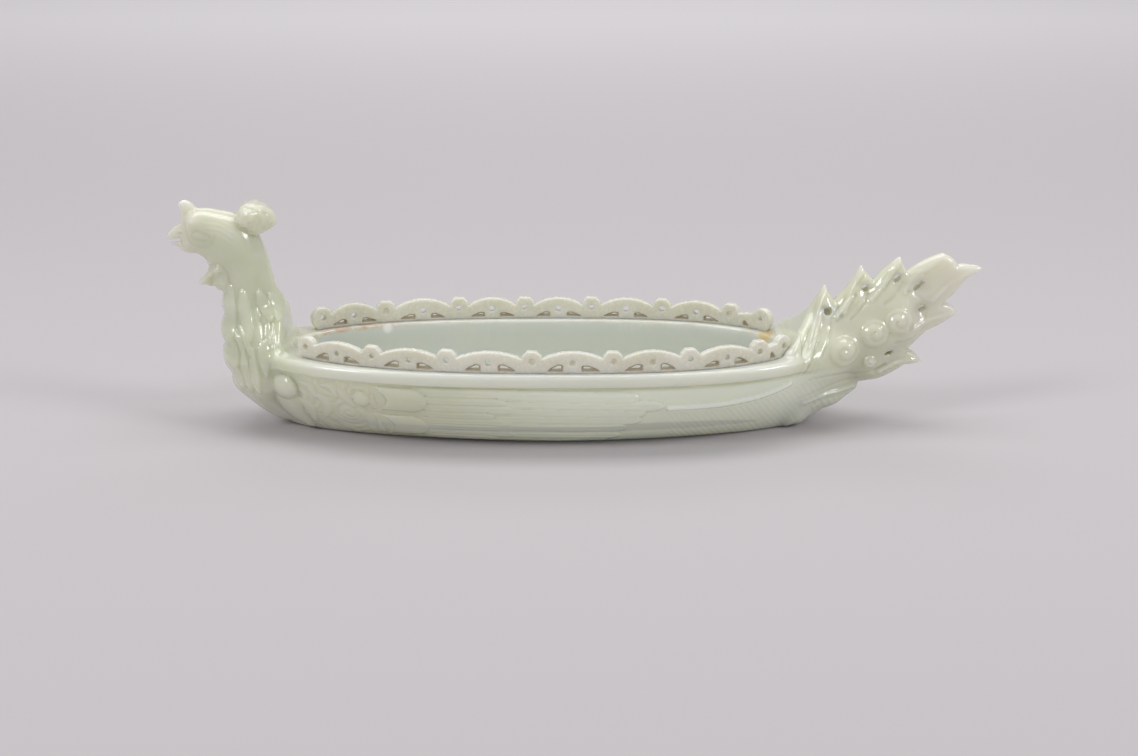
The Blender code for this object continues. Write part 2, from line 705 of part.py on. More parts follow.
def shade(thing):
    thing.data.shade_smooth()
    thing.data.set_sharp_from_angle(angle=0.7)


def build():
    clear_scene()
    jade = material("pale_green_jade", (0.62, 0.72, 0.56), 0.22)
    cream = material("cream_jade", (0.80, 0.80, 0.68), 0.28)
    body = neck(jade)
    pieces = [loft("hull", hull_rings(), jade), tail(jade), crest(jade), comb(jade), wattle(jade)]
    pieces += beak(jade) + hackles(jade)
    for side in (-1, 1):
        pieces += [tail_feather_rib(side, jade), shoulder_boss(side, jade)]
    union(body, pieces)
    body.data.materials.clear()
    body.data.materials.append(jade)
    shade(body)
    shade(rail("rail_port", -1, PORT_START_X, PORT_BAYS, PORT_HEIGHT, cream))
    shade(rail("rail_starboard", 1, STARBOARD_START_X, STARBOARD_BAYS, STARBOARD_HEIGHT, cream))


build()
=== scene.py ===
from math import cos, hypot, pi, radians, sin

import bpy
import numpy as np
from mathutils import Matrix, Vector


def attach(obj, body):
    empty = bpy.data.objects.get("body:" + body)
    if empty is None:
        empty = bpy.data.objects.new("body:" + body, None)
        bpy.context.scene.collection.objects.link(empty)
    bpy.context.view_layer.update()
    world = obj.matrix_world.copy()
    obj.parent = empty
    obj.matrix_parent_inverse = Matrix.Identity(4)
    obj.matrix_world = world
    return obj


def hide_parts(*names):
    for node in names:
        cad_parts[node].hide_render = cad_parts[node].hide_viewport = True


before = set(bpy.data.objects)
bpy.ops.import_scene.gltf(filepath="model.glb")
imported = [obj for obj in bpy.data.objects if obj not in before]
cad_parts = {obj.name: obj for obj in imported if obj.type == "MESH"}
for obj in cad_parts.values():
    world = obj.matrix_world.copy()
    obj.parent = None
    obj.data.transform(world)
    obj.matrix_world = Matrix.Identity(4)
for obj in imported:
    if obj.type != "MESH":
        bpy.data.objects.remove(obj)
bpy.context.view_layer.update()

# The carving is shaped in millimetres and scaled to metres as its meshes are made.
MM = 0.001
BODY_GRAIN = 0.30
RAIL_GRAIN = 0.22
BODY_TRIANGLES = 192000
RAIL_TRIANGLES = 60000

# Camera, as the photograph was taken
LENS = 48.22
CAMERA_PLACE = (-0.0019, -0.42699, 0.15564)
CAMERA_AIM = (-0.0019, 0.0, 0.0136)
SENSOR_WIDTH = 36.0

# Lamps, by name: place, aim, size and power
LAMPS = {
    "left_box": ((-0.80, -0.62, 0.80), (0.0, 0.0, 0.02), (0.34, 0.34), 4.0),
    "right_box": ((0.95, -0.45, 0.75), (0.0, 0.0, 0.02), (0.34, 0.34), 3.8),
    "top_box": ((0.0, 0.10, 1.10), (0.0, 0.0, 0.0), (1.1, 0.5), 5.2),
    "back_box": ((0.0, 1.70, 1.40), (0.0, 1.7, 0.0), (2.2, 1.2), 9.0),
}
ROOM_COLOUR = (0.97, 0.96, 1.0, 1.0)
ROOM_STRENGTH = 0.38
TABLE_REACH = 4.0

# Grid that the body is carved from, and where the head and the tail join the hull
BODY_X = (-118.4, 118.4)
BODY_Y = 32.5
BODY_Z = (-1.4, 68.6)
HEAD_END = -79.0
TAIL_START = 58.0
TAIL_JOIN = 3.5
GRID_LAP = 3
MIDDLE_ROW = 2

# Hull, in plan: the reach from the middle to bow and stern, the half breadth, and the powers
# that round the bow, the stern and the sides
MIDDLE_X = -5.9
RIM = dict(bow=90.0, stern=81.0, half=30.77, powers=(2.5, 2.6, 1.85))
BOTTOM = dict(bow=78.0, stern=71.0, half=17.2, powers=(1.6, 1.6, 1.7))
WELL = dict(bow=76.5, stern=66.0, half=24.6, powers=(2.4, 2.6, 2.0))
RIM_HEIGHT = 24.3
BAND_HEIGHT = 3.7
BAND_PROUD = 0.9
FLOOR = 6.0
WELL_ROUND = 9.0
BAND_ROUND = 1.4
SHEER_BOW = 0.6

# Railings: each bay is the distance between two knobs, from bow to stern
RAIL_THICKNESS = 2.4
RAIL_GAP = 0.03
RAIL_PLAN = dict(bow=80.0, stern=70.0, half=27.6, powers=(2.4, 2.6, 2.0))
PORT = dict(height=6.3, opening=1.6, start=-78.3, bays=(20.7, 21.4, 23.6, 22.3, 21.5, 21.2, 8.8))
STARBOARD = dict(height=6.7, opening=1.25, start=-79.0,
                 bays=(20.1, 22.6, 20.3, 20.6, 21.8, 21.5, 10.7))
KNOB_HALF_WIDTH = 2.6
KNOB_CORNER = 1.2
SADDLE_HEIGHT = 4.1
HOLE_RADIUS = 0.8
FOOT_SPARE = 0.7
OPENING_SILL = 0.7
OPENING_LENGTH = 4.4
OPENING_INSET = 2.5
OPENING_PROFILE = [(0, 0), (0, 0.8), (0.08, 1), (0.35, 1.05), (0.8, 0.5), (1, 0.1), (1, 0)]
BLIND_DEPTH = 0.75
WEB_DEPTH = 0.45
RAIL_EDGE = 0.32


# Outlines and fields on the side view


def rise(value, start, end):
    """0 below start and 1 above end, with a soft change between."""
    t = np.clip((value - start) / (end - start), 0.0, 1.0)
    return t * t * (3.0 - 2.0 * t)


def fall(value, start, end):
    return 1.0 - rise(value, start, end)


def curve_through(points, steps=5, closed=True):
    """A smooth line through points, with steps stretches between each two."""
    p = np.array(points, float)
    p = np.concatenate([p[-1:], p, p[:2]] if closed else [p[:1], p, p[-1:]])
    found = []
    for a, b, c, d in zip(p, p[1:], p[2:], p[3:]):
        for t in (s / steps for s in range(steps)):
            found.append(0.5 * (2 * b + (c - a) * t + (2 * a - 5 * b + 4 * c - d) * t * t
                                + (3 * b - 3 * c + d - a) * t ** 3))
    return np.array(found if closed else found + [p[-1]])


def arc_outline(anchors):
    """Anchors are (x, z, bulge); each bulge bends the stretch to the next anchor."""
    steps = 6
    found = []
    for i, (x, z, bulge) in enumerate(anchors):
        nx, nz = anchors[(i + 1) % len(anchors)][:2]
        length = hypot(nx - x, nz - z)
        for s in range(steps):
            t = s / steps
            off = 4.0 * bulge * t * (1.0 - t)
            found.append((x + (nx - x) * t - (nz - z) / length * off,
                          z + (nz - z) * t + (nx - x) / length * off))
    return np.array(found)


def stretch_distance(X, Z, start, end):
    """Distance to a straight stretch, and how far along it the nearest point is."""
    (x0, z0), (x1, z1) = start, end
    dx, dz = x1 - x0, z1 - z0
    t = np.clip(((X - x0) * dx + (Z - z0) * dz) / (dx * dx + dz * dz), 0.0, 1.0)
    return np.hypot(X - x0 - t * dx, Z - z0 - t * dz), t


def line_distance(X, Z, points):
    """Distance to an open line, and how far along it the nearest point is, from 0 to 1."""
    best = np.full(X.shape, 1e9)
    share = np.zeros(X.shape)
    count = len(points) - 1
    for i in range(count):
        far, t = stretch_distance(X, Z, points[i], points[i + 1])
        nearer = far < best
        best = np.where(nearer, far, best)
        share = np.where(nearer, (i + t) / count, share)
    return best, share


def inside_distance(X, Z, loop):
    """Distance to a closed outline, positive inside it."""
    best = np.full(X.shape, 1e9)
    odd = np.zeros(X.shape, bool)
    for (x0, z0), (x1, z1) in zip(loop, np.roll(loop, -1, axis=0)):
        dx, dz = x1 - x0, z1 - z0
        if dx * dx + dz * dz < 1e-9:
            continue
        best = np.minimum(best, stretch_distance(X, Z, (x0, z0), (x1, z1))[0])
        if abs(dz) > 1e-9:
            odd ^= ((z0 > Z) != (z1 > Z)) & (X < dx * (Z - z0) / dz + x0)
    return np.where(odd, best, -best)


def from_stations(X, Z, stations, reach):
    """A smooth value over the side view from (x, z, value) stations."""
    total = np.zeros(X.shape)
    weight = np.full(X.shape, 1e-9)
    for x, z, value in stations:
        near = np.exp(-((X - x) ** 2 + (Z - z) ** 2) / (2.0 * reach * reach)) + 1e-7
        total += near * value
        weight += near
    return total / weight


def mound(X, Z, x, z, radius):
    """A smooth round bump, 1 at its middle."""
    return np.exp(-((X - x) ** 2 + (Z - z) ** 2) / (radius * radius))


def dome(share):
    """A round cap: 1 at its middle, and 0 where the share of its radius reaches 1."""
    return np.sqrt(np.clip(1.0 - share ** 2, 0.0, 1.0))


def groove(X, Z, points, width):
    """1 along a smooth line, fading over its width."""
    far, _ = line_distance(X, Z, curve_through(points, closed=False))
    return np.exp(-(far / width) ** 2)


def leaf(X, Z, points, radii):
    """A rounded blade along a line: its height profile, 1 on the line and 0 at the rim."""
    far, share = line_distance(X, Z, curve_through(points, closed=False))
    return dome(far / np.interp(share, np.linspace(0.0, 1.0, len(radii)), radii))


# Solid fields: negative inside the jade


class Window:
    """A stretch of the side view with its half of the solid grid, y from 0 outwards."""

    def __init__(self, x, y, z, step):
        self.step = step
        self.X, self.Z = np.meshgrid(x, z, indexing="ij")
        self.y = y[None, :, None]
        self.z = z[None, None, :]

    def spread(self, value):
        """A value over the side view, or a number, laid across the grid's y."""
        return np.broadcast_to(value, self.X.shape)[:, None, :]


def rounded(a, b, radius):
    """Where both are negative, with a rounded edge between the two faces."""
    u, v = a + radius, b + radius
    return (np.minimum(np.maximum(u, v), 0.0)
            + np.sqrt(np.maximum(u, 0.0) ** 2 + np.maximum(v, 0.0) ** 2) - radius)


def merged(a, b, soft):
    """Both together, with a soft hollow along their seam."""
    h = np.clip(0.5 + 0.5 * (b - a) / soft, 0.0, 1.0)
    return b + (a - b) * h - soft * h * (1.0 - h)


def plate(g, distance, half, edge):
    """A plate on the middle plane: its half width and edge radius over the side view."""
    return rounded(g.y - g.spread(half), -g.spread(distance), g.spread(edge))


def outline_plate(g, outline, half, edge):
    return plate(g, inside_distance(g.X, g.Z, curve_through(outline, 4)), half, edge)


def leaning(slope):
    """Turns a distance across a sloping wall into the true one."""
    return 1.0 / np.sqrt(1.0 + np.clip(slope, 0.0, 2.5) ** 2)


def plan_leaning(breadth, step):
    return leaning(np.abs(np.gradient(breadth[:, 0], step)))[:, None, None]


def mesh_of(field, origin, step):
    """Surface of a field, one point in each cell that it crosses."""
    inside = field < 0.0
    corners = list(np.ndindex(2, 2, 2))
    some = np.zeros([n - 1 for n in field.shape], bool)
    every = ~some
    for corner in corners:
        here = inside[tuple(slice(c, c + n - 1) for n, c in zip(field.shape, corner))]
        some |= here
        every &= here
    cells = np.argwhere(some & ~every)
    number = np.full(some.shape, -1, np.int32)
    number[tuple(cells.T)] = np.arange(len(cells))
    total = np.zeros((len(cells), 3))
    count = np.zeros((len(cells), 1))
    for a in corners:
        for axis in range(3):
            if a[axis]:
                continue
            b = tuple(c + (n == axis) for n, c in enumerate(a))
            fa = field[tuple((cells + a).T)]
            fb = field[tuple((cells + b).T)]
            hit = (fa < 0.0) != (fb < 0.0)
            t = np.where(hit, fa / np.where(hit, fa - fb, 1.0), 0.0)[:, None]
            place = np.array(a, float) + t * (np.array(b) - np.array(a))
            total += place * hit[:, None]
            count += hit[:, None]
    points = np.array(origin) + step * (cells + total / count)
    faces = []
    for axis in range(3):
        others = [n for n in range(3) if n != axis]
        low = [slice(1, n - 1) for n in field.shape]
        low[axis] = slice(0, field.shape[axis] - 1)
        high = list(low)
        high[axis] = slice(1, field.shape[axis])
        here, there = inside[tuple(low)], inside[tuple(high)]
        base = np.array([0 if n == axis else 1 for n in range(3)])
        for first, flip in ((here & ~there, axis != 1), (~here & there, axis == 1)):
            edge = np.argwhere(first) + base
            if not len(edge):
                continue
            ring = []
            for u, v in ((1, 1), (0, 1), (0, 0), (1, 0)):
                cell = edge.copy()
                cell[:, others[0]] -= u
                cell[:, others[1]] -= v
                ring.append(number[tuple(cell.T)])
            quad = np.stack(ring, axis=1)
            faces.append(quad if flip else quad[:, ::-1])
    return points, np.concatenate(faces)


def relax(points, faces, rounds):
    """Takes the cell pattern out of a mesh: smooths it, then puts the lost volume back."""
    edges = np.concatenate([faces[:, [i, (i + 1) % 4]] for i in range(4)])
    degree = np.bincount(edges.ravel(), minlength=len(points)).astype(float)[:, None]
    for _ in range(rounds):
        for share in (0.55, -0.57):
            total = np.zeros_like(points)
            for axis in range(3):
                a = np.bincount(edges[:, 0], points[edges[:, 1], axis], len(points))
                b = np.bincount(edges[:, 1], points[edges[:, 0], axis], len(points))
                total[:, axis] = a + b
            points = points + share * (total / degree - points)
    return points


def make_object(name, points, faces):
    """A smooth mesh object in metres."""
    mesh = bpy.data.meshes.new(name)
    mesh.from_pydata((points * MM).tolist(), [], faces.tolist())
    mesh.update()
    thing = bpy.data.objects.new(name, mesh)
    bpy.context.scene.collection.objects.link(thing)
    thing.data.shade_smooth()
    return thing


def thin_out(thing, limit):
    """Brings an object's triangles down to a limit."""
    count = sum(len(face.vertices) - 2 for face in thing.data.polygons)
    if count > limit:
        thin = thing.modifiers.new("thin", "DECIMATE")
        thin.ratio = limit / count
        thin.use_collapse_triangulate = True
        settle(thing)
        thing.data.shade_smooth()


def settle(thing):
    """Turns an object's modifiers into plain mesh."""
    graph = bpy.context.evaluated_depsgraph_get()
    done = bpy.data.meshes.new_from_object(thing.evaluated_get(graph))
    thing.modifiers.clear()
    thing.data = done


def from_half(name, half, x, z, step, rounds):
    """A mesh object from a solid's half grid, mirrored over the middle plane."""
    solid = np.concatenate([half[:, :MIDDLE_ROW:-1], half[:, MIDDLE_ROW:]], axis=1)
    low_y = -(half.shape[1] - 1 - MIDDLE_ROW) * step
    points, faces = mesh_of(solid, (x[0], low_y, z[0]), step)
    points = relax(points, faces, rounds)
    points[:, 2] = np.maximum(points[:, 2], 0.0)
    return make_object(name, points, faces)


def points_of(thing):
    """The x, y and z of an object's points, in millimetres."""
    place = np.empty(3 * len(thing.data.vertices))
    thing.data.vertices.foreach_get("co", place)
    return (place.reshape(-1, 3) / MM).T


def mark(thing, name, values):
    """Stores a value on every point, for the finishes to read."""
    thing.data.attributes.new(name, "FLOAT", "POINT").data.foreach_set("value", values)


# Hull


def plan_breadth(x, bow, stern, half, powers):
    """Half breadth of a long rounded plan at x, negative past its ends."""
    along = x - MIDDLE_X
    reach = np.where(along > 0.0, stern, bow)
    power = np.where(along > 0.0, powers[1], powers[0])
    t = np.abs(along) / reach
    return np.where(t < 1.0, half * np.clip(1.0 - t ** power, 0.0, 1.0) ** (1.0 / powers[2]),
                    (1.0 - t) * reach)


def sheer(x):
    """How far the rim rises towards the bow."""
    return SHEER_BOW * np.clip((MIDDLE_X - x) / RIM["bow"], 0.0, 1.0) ** 2


def plan_ring(angle, bow, stern, half, powers):
    c, s = np.cos(angle), np.sin(angle)
    reach = np.where(c > 0.0, stern, -bow)
    power = np.where(c > 0.0, powers[1], powers[0])
    return MIDDLE_X + reach * np.abs(c) ** (2.0 / power), half * np.abs(s) ** (2.0 / powers[2])


def side_breadth(X, Z):
    """Half breadth of the hull's flared side over the side view."""
    x = X[:, 0]
    angle = np.linspace(0.0, pi, 500)
    top = dict(RIM, bow=RIM["bow"] - BAND_PROUD, stern=RIM["stern"] - BAND_PROUD,
               half=RIM["half"] - BAND_PROUD)
    low, high = plan_ring(angle, **BOTTOM), plan_ring(angle, **top)
    shares = np.linspace(0.0, 1.0, 50)
    table = []
    for share in shares:
        flare = 1.0 - (1.0 - share) ** 2
        xs = low[0] + (high[0] - low[0]) * flare
        ys = low[1] + (high[1] - low[1]) * flare
        y = np.interp(x, xs[::-1], ys[::-1])
        past = np.maximum(xs[-1] - x, x - xs[0])
        table.append(np.where(past > 0.0, -past, y))
    table = np.array(table)
    found = np.empty(X.shape)
    for i in range(len(x)):
        share = Z[i] / (RIM_HEIGHT - BAND_HEIGHT + float(sheer(x[i])))
        found[i] = np.interp(share, shares, table[:, i])
    return found


# The wing carved on the hull's side

SHOULDER = (-83.2, 15.7)
SHOULDER_RADIUS = 4.2
TAIL_SHAFT = [(25.9, 13.6), (34, 13.6), (42.3, 13.9), (50.9, 15), (56, 16.2), (60.8, 17.8)]
COVERTS = [(16, 3.7, -41.3), (6.3, 4.1, -41.5)]
SECONDARIES = [
    (18.6, -14), (16.2, -19.6), (13.8, -17), (11.4, -22.4), (9, -18), (6.6, -21), (4.2, -17),
    (2, -22),
]
PRIMARIES = [
    (18.4, 17.2, 17.5), (16, 14.4, 24.6), (13.4, 12.2, 19.6), (10.6, 9.6, 18.4), (7.4, 6.6, 14.6),
    (3.9, 3.2, 12.6), (0.9, 0.6, 9),
]
CURLS = [
    ([(-55.2, 9.6), (-53, 6.2), (-53.6, 1.6)], (0.8, 1.6, 0.8), 0.6),
    ([(-56.6, 19.2), (-54.4, 15.6), (-55.4, 11.6)], (0.8, 1.8, 0.8), 0.6),
    ([(-61.6, 11.6), (-58.4, 8), (-58.4, 2.4)], (0.8, 2.2, 1), 0.8),
    ([(-62.4, 18.8), (-59.4, 19), (-57.6, 17.2)], (0.6, 1.2, 0.6), 0.7),
    ([(-66.4, 17.8), (-64.8, 15.4), (-62.6, 12.6)], (0.8, 1.6, 0.9), 0.8),
    ([(-68.8, 6.4), (-66, 3.6), (-63.2, 1.2)], (0.8, 2, 1), 0.7),
    ([(-71.4, 18.6), (-68.8, 18.4), (-67.4, 15.6)], (0.6, 1.5, 0.8), 0.8),
    ([(-73.2, 15.4), (-70.4, 12), (-71.6, 7.4)], (0.8, 2.2, 1), 1),
    ([(-74.2, 6.2), (-71.6, 3.6), (-70, 0.8)], (0.8, 1.8, 1), 0.8),
    ([(-77.6, 18.4), (-75.2, 17.6), (-74, 14.6)], (0.6, 1.5, 0.9), 0.9),
    ([(-78.6, 12.4), (-76, 9.2), (-75.6, 4.4)], (1, 2.2, 1.2), 1.1),
]
CURL_CENTRES = [(-64.2, 9.8), (-75.5, 1), (-69, 20), (-79, 14)]
CURL_BUMP = (-60.0, 15.2, 2.6)
CURL_SWIRL = (-64.2, 9.8, 3.4, 0.6, 1)


# Feathers from back to front: root, tip, half width, height, depth of shaft, length of tip
FEATHERS = (
    [((-26.0, start), (tip, end), 1.75, 0.55, 0.14, 4.0) for start, end, tip in reversed(PRIMARIES)]
    + [((-46.0, z), (tip, z - 0.3), 1.65, 0.75, 0.14, 3.0) for z, tip in SECONDARIES]
    + [((-62.0, z), (tip, z - 0.3), half, 0.95, 0.08, 1.3 * half) for z, half, tip in COVERTS])


def blade(X, Z, relief, root, end, half, height, shaft, tip):
    """Lays a long feather over a relief, from its root to its rounded tip."""
    (x0, z0), (x1, z1) = root, end
    t = np.clip((X - x0) / (x1 - x0), 0.0, 1.0)
    middle = z0 + (z1 - z0) * t
    left = np.clip((x1 - X) / tip, 0.0, 1.0)
    width = half * np.sqrt(1.0 - (1.0 - left) ** 2)
    v = (Z - middle) / np.maximum(width, 1e-3)
    height = height * rise(X, x0, x0 + 6.0)
    on = (np.abs(v) < 1.0) & (X > x0 + 1.0) & (X < x1)
    body = height * (0.35 + 0.65 * dome(v))
    body -= shaft * np.exp(-((Z - middle) / 0.20) ** 2)
    return np.where(on, body, relief)


def barbs(X, Z, angle, step, depth):
    """Fine slanting lines, cut into a feather."""
    along = X * sin(angle) + Z * cos(angle)
    return -depth * (0.5 + 0.5 * np.cos(2.0 * pi * along / step)) ** 2


def wing_relief(X, Z):
    relief = np.zeros(X.shape)
    shaft = curve_through(TAIL_SHAFT, 6, closed=False)
    strip = np.interp(X, shaft[:, 0], shaft[:, 1]) - Z
    fade = rise(X, 15.0, 24.0) * fall(X, 66.0, 72.0)
    down = barbs(X, Z, radians(56.0), 1.45, 0.34) * rise(strip, 2.0, 2.6)
    down -= 0.20 * np.exp(-((strip - 2.2) / 0.25) ** 2)
    relief += fade * np.where(strip > 0.0, down, 0.0)
    up = barbs(X, Z, radians(-45.0), 2.0, 0.16) * rise(X, 10.0, 24.0)
    relief += np.where((strip < 0.0) & (Z < 20.0), up, 0.0)
    for feather in FEATHERS:
        relief = blade(X, Z, relief, *feather)
    r = np.min([np.hypot(X - x, Z - z) for x, z in CURL_CENTRES], axis=0)
    curled = rise(X, -80.0, -77.0) * fall(X, -59.0, -55.0)
    relief = relief * (1.0 - curled) + curled * (0.18 + 0.14 * np.cos(2.0 * pi * r / 2.1))
    x, z, radius = CURL_BUMP
    relief = np.maximum(relief, 1.1 * dome(np.hypot(X - x, Z - z) / radius))
    for line, radii, height in CURLS:
        whole = leaf(X, Z, line, radii)
        relief = np.where(whole > 0.05, np.maximum(0.6 * height * whole, 0.5 * relief), relief)
        relief -= 0.12 * np.exp(-((whole - 0.55) / 0.10) ** 2) * (whole > 0.3)
    relief = np.maximum(relief, 0.6 * scroll_relief(X, Z, *CURL_SWIRL))
    comma = leaf(X, Z, [SHOULDER, (-82.6, 10.0), (-80.6, 5.4), (-77.2, 1.8)], (4.3, 4.2, 3.0, 1.4))
    disc = dome(np.hypot(X - SHOULDER[0], Z - SHOULDER[1]) / SHOULDER_RADIUS)
    return np.maximum(relief, np.maximum(1.3 * comma, 2.8 * disc))


def hull_field(g):
    """Flared sides with the wing, and the band along the rim."""
    X, Z = g.X, g.Z
    lift = sheer(X)
    half = side_breadth(X, Z)
    slope = np.hypot(*np.gradient(half, g.step))
    edge = rise(Z, 0.3, 1.6) * fall(Z - lift, 19.6, 20.5)
    carved = half + wing_relief(X, Z) * edge
    rib, _ = line_distance(X, Z, curve_through(TAIL_SHAFT, 6, closed=False))
    carved += 1.2 * dome(rib / 0.85)
    side = rounded((g.y - g.spread(carved)) * g.spread(leaning(slope)), -g.z, 0.7)
    side = rounded(side, g.z - g.spread(RIM_HEIGHT - 0.6 + lift), 0.3)
    breadth = plan_breadth(X[:, :1], **RIM)
    outer = (g.y - breadth[:, :, None]) * plan_leaning(breadth, g.step)
    band = rounded(outer, g.z - g.spread(RIM_HEIGHT + lift), BAND_ROUND)
    band = rounded(band, g.spread(RIM_HEIGHT - BAND_HEIGHT + lift) - g.z, 0.5)
    return merged(side, band, 0.6)


def well_field(g):
    """The hollow inside the rim, open above."""
    breadth = plan_breadth(g.X[:, :1], **WELL)
    taper = 1.2 * np.clip((RIM_HEIGHT - g.Z) / 10.0, 0.0, 1.3)
    wall = (g.y - g.spread(breadth - taper)) * plan_leaning(breadth, g.step)
    return rounded(wall, FLOOR - g.z, WELL_ROUND)


# Neck and head

HEAD_OUTLINE = [
    (-81, 1.2), (-84, 0.9), (-87.6, 1.6), (-92, 4.4), (-96.4, 8.3), (-99.6, 11.4), (-101, 14.3),
    (-101, 16.6), (-102.5, 18.9), (-103.1, 22), (-102.9, 24.4), (-102.3, 25.7), (-103.1, 27.6),
    (-103.2, 30.6), (-102.4, 33.2), (-101.9, 34.2), (-102.5, 36.4), (-102.2, 39.6), (-101.2, 42),
    (-101.4, 44.6), (-103, 46.8), (-105.6, 48.2), (-106.4, 50), (-108.6, 51.4), (-111, 52.2),
    (-112.6, 53.6), (-112.9, 56), (-112.7, 58.4), (-112, 60.6), (-111, 62.9), (-109, 64.3),
    (-105.6, 64.7), (-102.1, 64.2), (-97.7, 63.3), (-94.6, 61.6), (-92.2, 59.3), (-90.7, 56.7),
    (-89.4, 53.4), (-88.3, 49.6), (-87.5, 45.6), (-86.8, 42.6), (-85.6, 40), (-84.4, 37.8),
    (-84, 35.6), (-84.1, 33), (-84.2, 28), (-83.9, 20), (-82.6, 10),
]
HEAD_STATIONS = [
    (-85, 1, 4.2), (-90, 4, 8.4), (-94, 8, 11.6), (-96, 13, 13.4), (-93, 19, 14), (-94, 25, 13.8),
    (-95, 30, 12.4), (-96, 35, 9.8), (-95, 39.5, 8.4), (-94.6, 44, 7.4), (-96, 49, 7),
    (-98, 54, 6.9), (-96, 60, 6.3), (-102, 57, 6.6), (-103, 62, 5.6), (-107.5, 58, 5.5),
    (-108, 62, 4.4), (-111.5, 57.5, 3.9), (-112.5, 54, 3), (-108, 53, 4.6), (-85, 38, 4.6),
    (-85, 34.5, 7), (-85, 31, 10.2), (-85, 27, 12.6), (-85, 22, 14), (-85, 14, 13.4), (-84, 7, 9),
]
HACKLES = [
    ([(-99.3, 42.4), (-99.4, 37), (-98.8, 30.2)], (1.6, 2.3, 2.4, 1.4), 1),
    ([(-94.8, 41.6), (-94, 36), (-92.8, 29)], (1, 1.8, 1.9, 0.8), 0.85),
    ([(-99.2, 28.6), (-98.8, 24.6), (-98, 20.2)], (1.4, 2.5, 2.4, 1.2), 0.9),
    ([(-95.8, 32.4), (-94, 29.4), (-92.6, 25)], (0.5, 1, 1.1, 0.5), 0.8),
    ([(-97.4, 31), (-95.6, 28), (-94.6, 24)], (0.5, 1, 1, 0.4), 0.6),
    ([(-97.8, 20.6), (-97.2, 17.6), (-96.2, 14)], (0.8, 1.4, 1.3, 0.6), 0.7),
    ([(-94.9, 25.2), (-94.4, 20), (-93.4, 13.6)], (0.5, 1.2, 1.4, 0.8), 0.75),
    ([(-92.1, 26.4), (-91.8, 20), (-91, 13.6)], (0.5, 1.1, 1.5, 0.8), 0.8),
    ([(-88.9, 27.6), (-88.7, 24.4), (-88.2, 18.6)], (1.1, 1.7, 1.5, 0.4), 0.9),
    ([(-91, 37), (-90.7, 33.4)], (0.5, 0.8, 0.4), 0.5),
    ([(-89.3, 36.2), (-89, 33.2)], (0.5, 0.8, 0.4), 0.5),
    ([(-88.1, 33.6), (-87.6, 27.6)], (0.5, 0.8, 0.5), 0.5),
    ([(-90.3, 32.6), (-90, 28.6)], (0.4, 0.7, 0.4), 0.4),
    ([(-90.4, 41.6), (-89.2, 38), (-87.3, 34.2)], (0.6, 1.4, 1.6, 1), 1.1),
    ([(-87.6, 40.4), (-86.4, 37.6), (-85, 34.4)], (0.5, 1.2, 1.5, 0.9), 1),
    ([(-86.6, 33), (-86, 29), (-85.4, 24.8)], (0.3, 0.55, 0.3), 0.6),
    ([(-101.8, 49), (-100.6, 45.6), (-100.2, 41.8)], (0.6, 1.6, 1.5, 0.8), 0.9),
    ([(-94.8, 13.4), (-92.8, 9.4), (-90, 5.4)], (0.6, 1.5, 1.5, 0.6), 0.5),
]

# Lines cut in the face: their points, width and depth
FACE_LINES = [
    ([(-109, 58.2), (-107.4, 58.9), (-105.2, 58.4), (-103.6, 57.4)], 0.26, 0.20),
    ([(-108.9, 57.2), (-107, 56.3), (-105, 56.4), (-103.8, 57)], 0.24, 0.18),
    ([(-111, 60.4), (-110.2, 57.6), (-109, 55.2)], 0.35, 0.30),
    ([(-108.6, 54.6), (-105.4, 54), (-103.2, 55.4), (-102, 58)], 0.3, 0.25),
]


def head_relief(X, Z):
    relief = np.zeros(X.shape)
    for line, radii, height in HACKLES:
        relief = np.maximum(relief, 0.72 * height * leaf(X, Z, line, radii) ** 0.8)
    hair = np.cos(2.0 * pi * (X + 0.30 * (Z - 30.0)) / 1.1)
    relief += 0.10 * hair * mound(X, Z, -95.2, 28.6, 3.6)
    relief += 0.75 * mound(X, Z, -108.9, 61.6, 1.7)
    relief += 0.25 * leaf(X, Z, [(-108.0, 57.7), (-105.4, 57.2)], (0.5, 0.85, 0.3))
    for line, width, depth in FACE_LINES:
        relief -= depth * groove(X, Z, line, width)
    for lift in (0.0, 1.3, 2.6):
        relief -= 0.20 * groove(X, Z, [(-104.6, 61.8 - lift), (-100.6, 61.4 - lift),
                                       (-96.8, 59.4 - 1.2 * lift)], 0.28)
    return relief


def head_field(g):
    X, Z = g.X, g.Z
    distance = inside_distance(X, Z, curve_through(HEAD_OUTLINE, 4))
    half = from_stations(X, Z, HEAD_STATIONS, 3.6)
    low = fall(Z, 33.0, 38.0) * rise(Z, 9.0, 17.0)
    back = rise(X, -93.5, -88.0) * low
    edge = half * (1.0 - back) + 1.3 * back
    return plate(g, distance, half + head_relief(X, Z), edge)


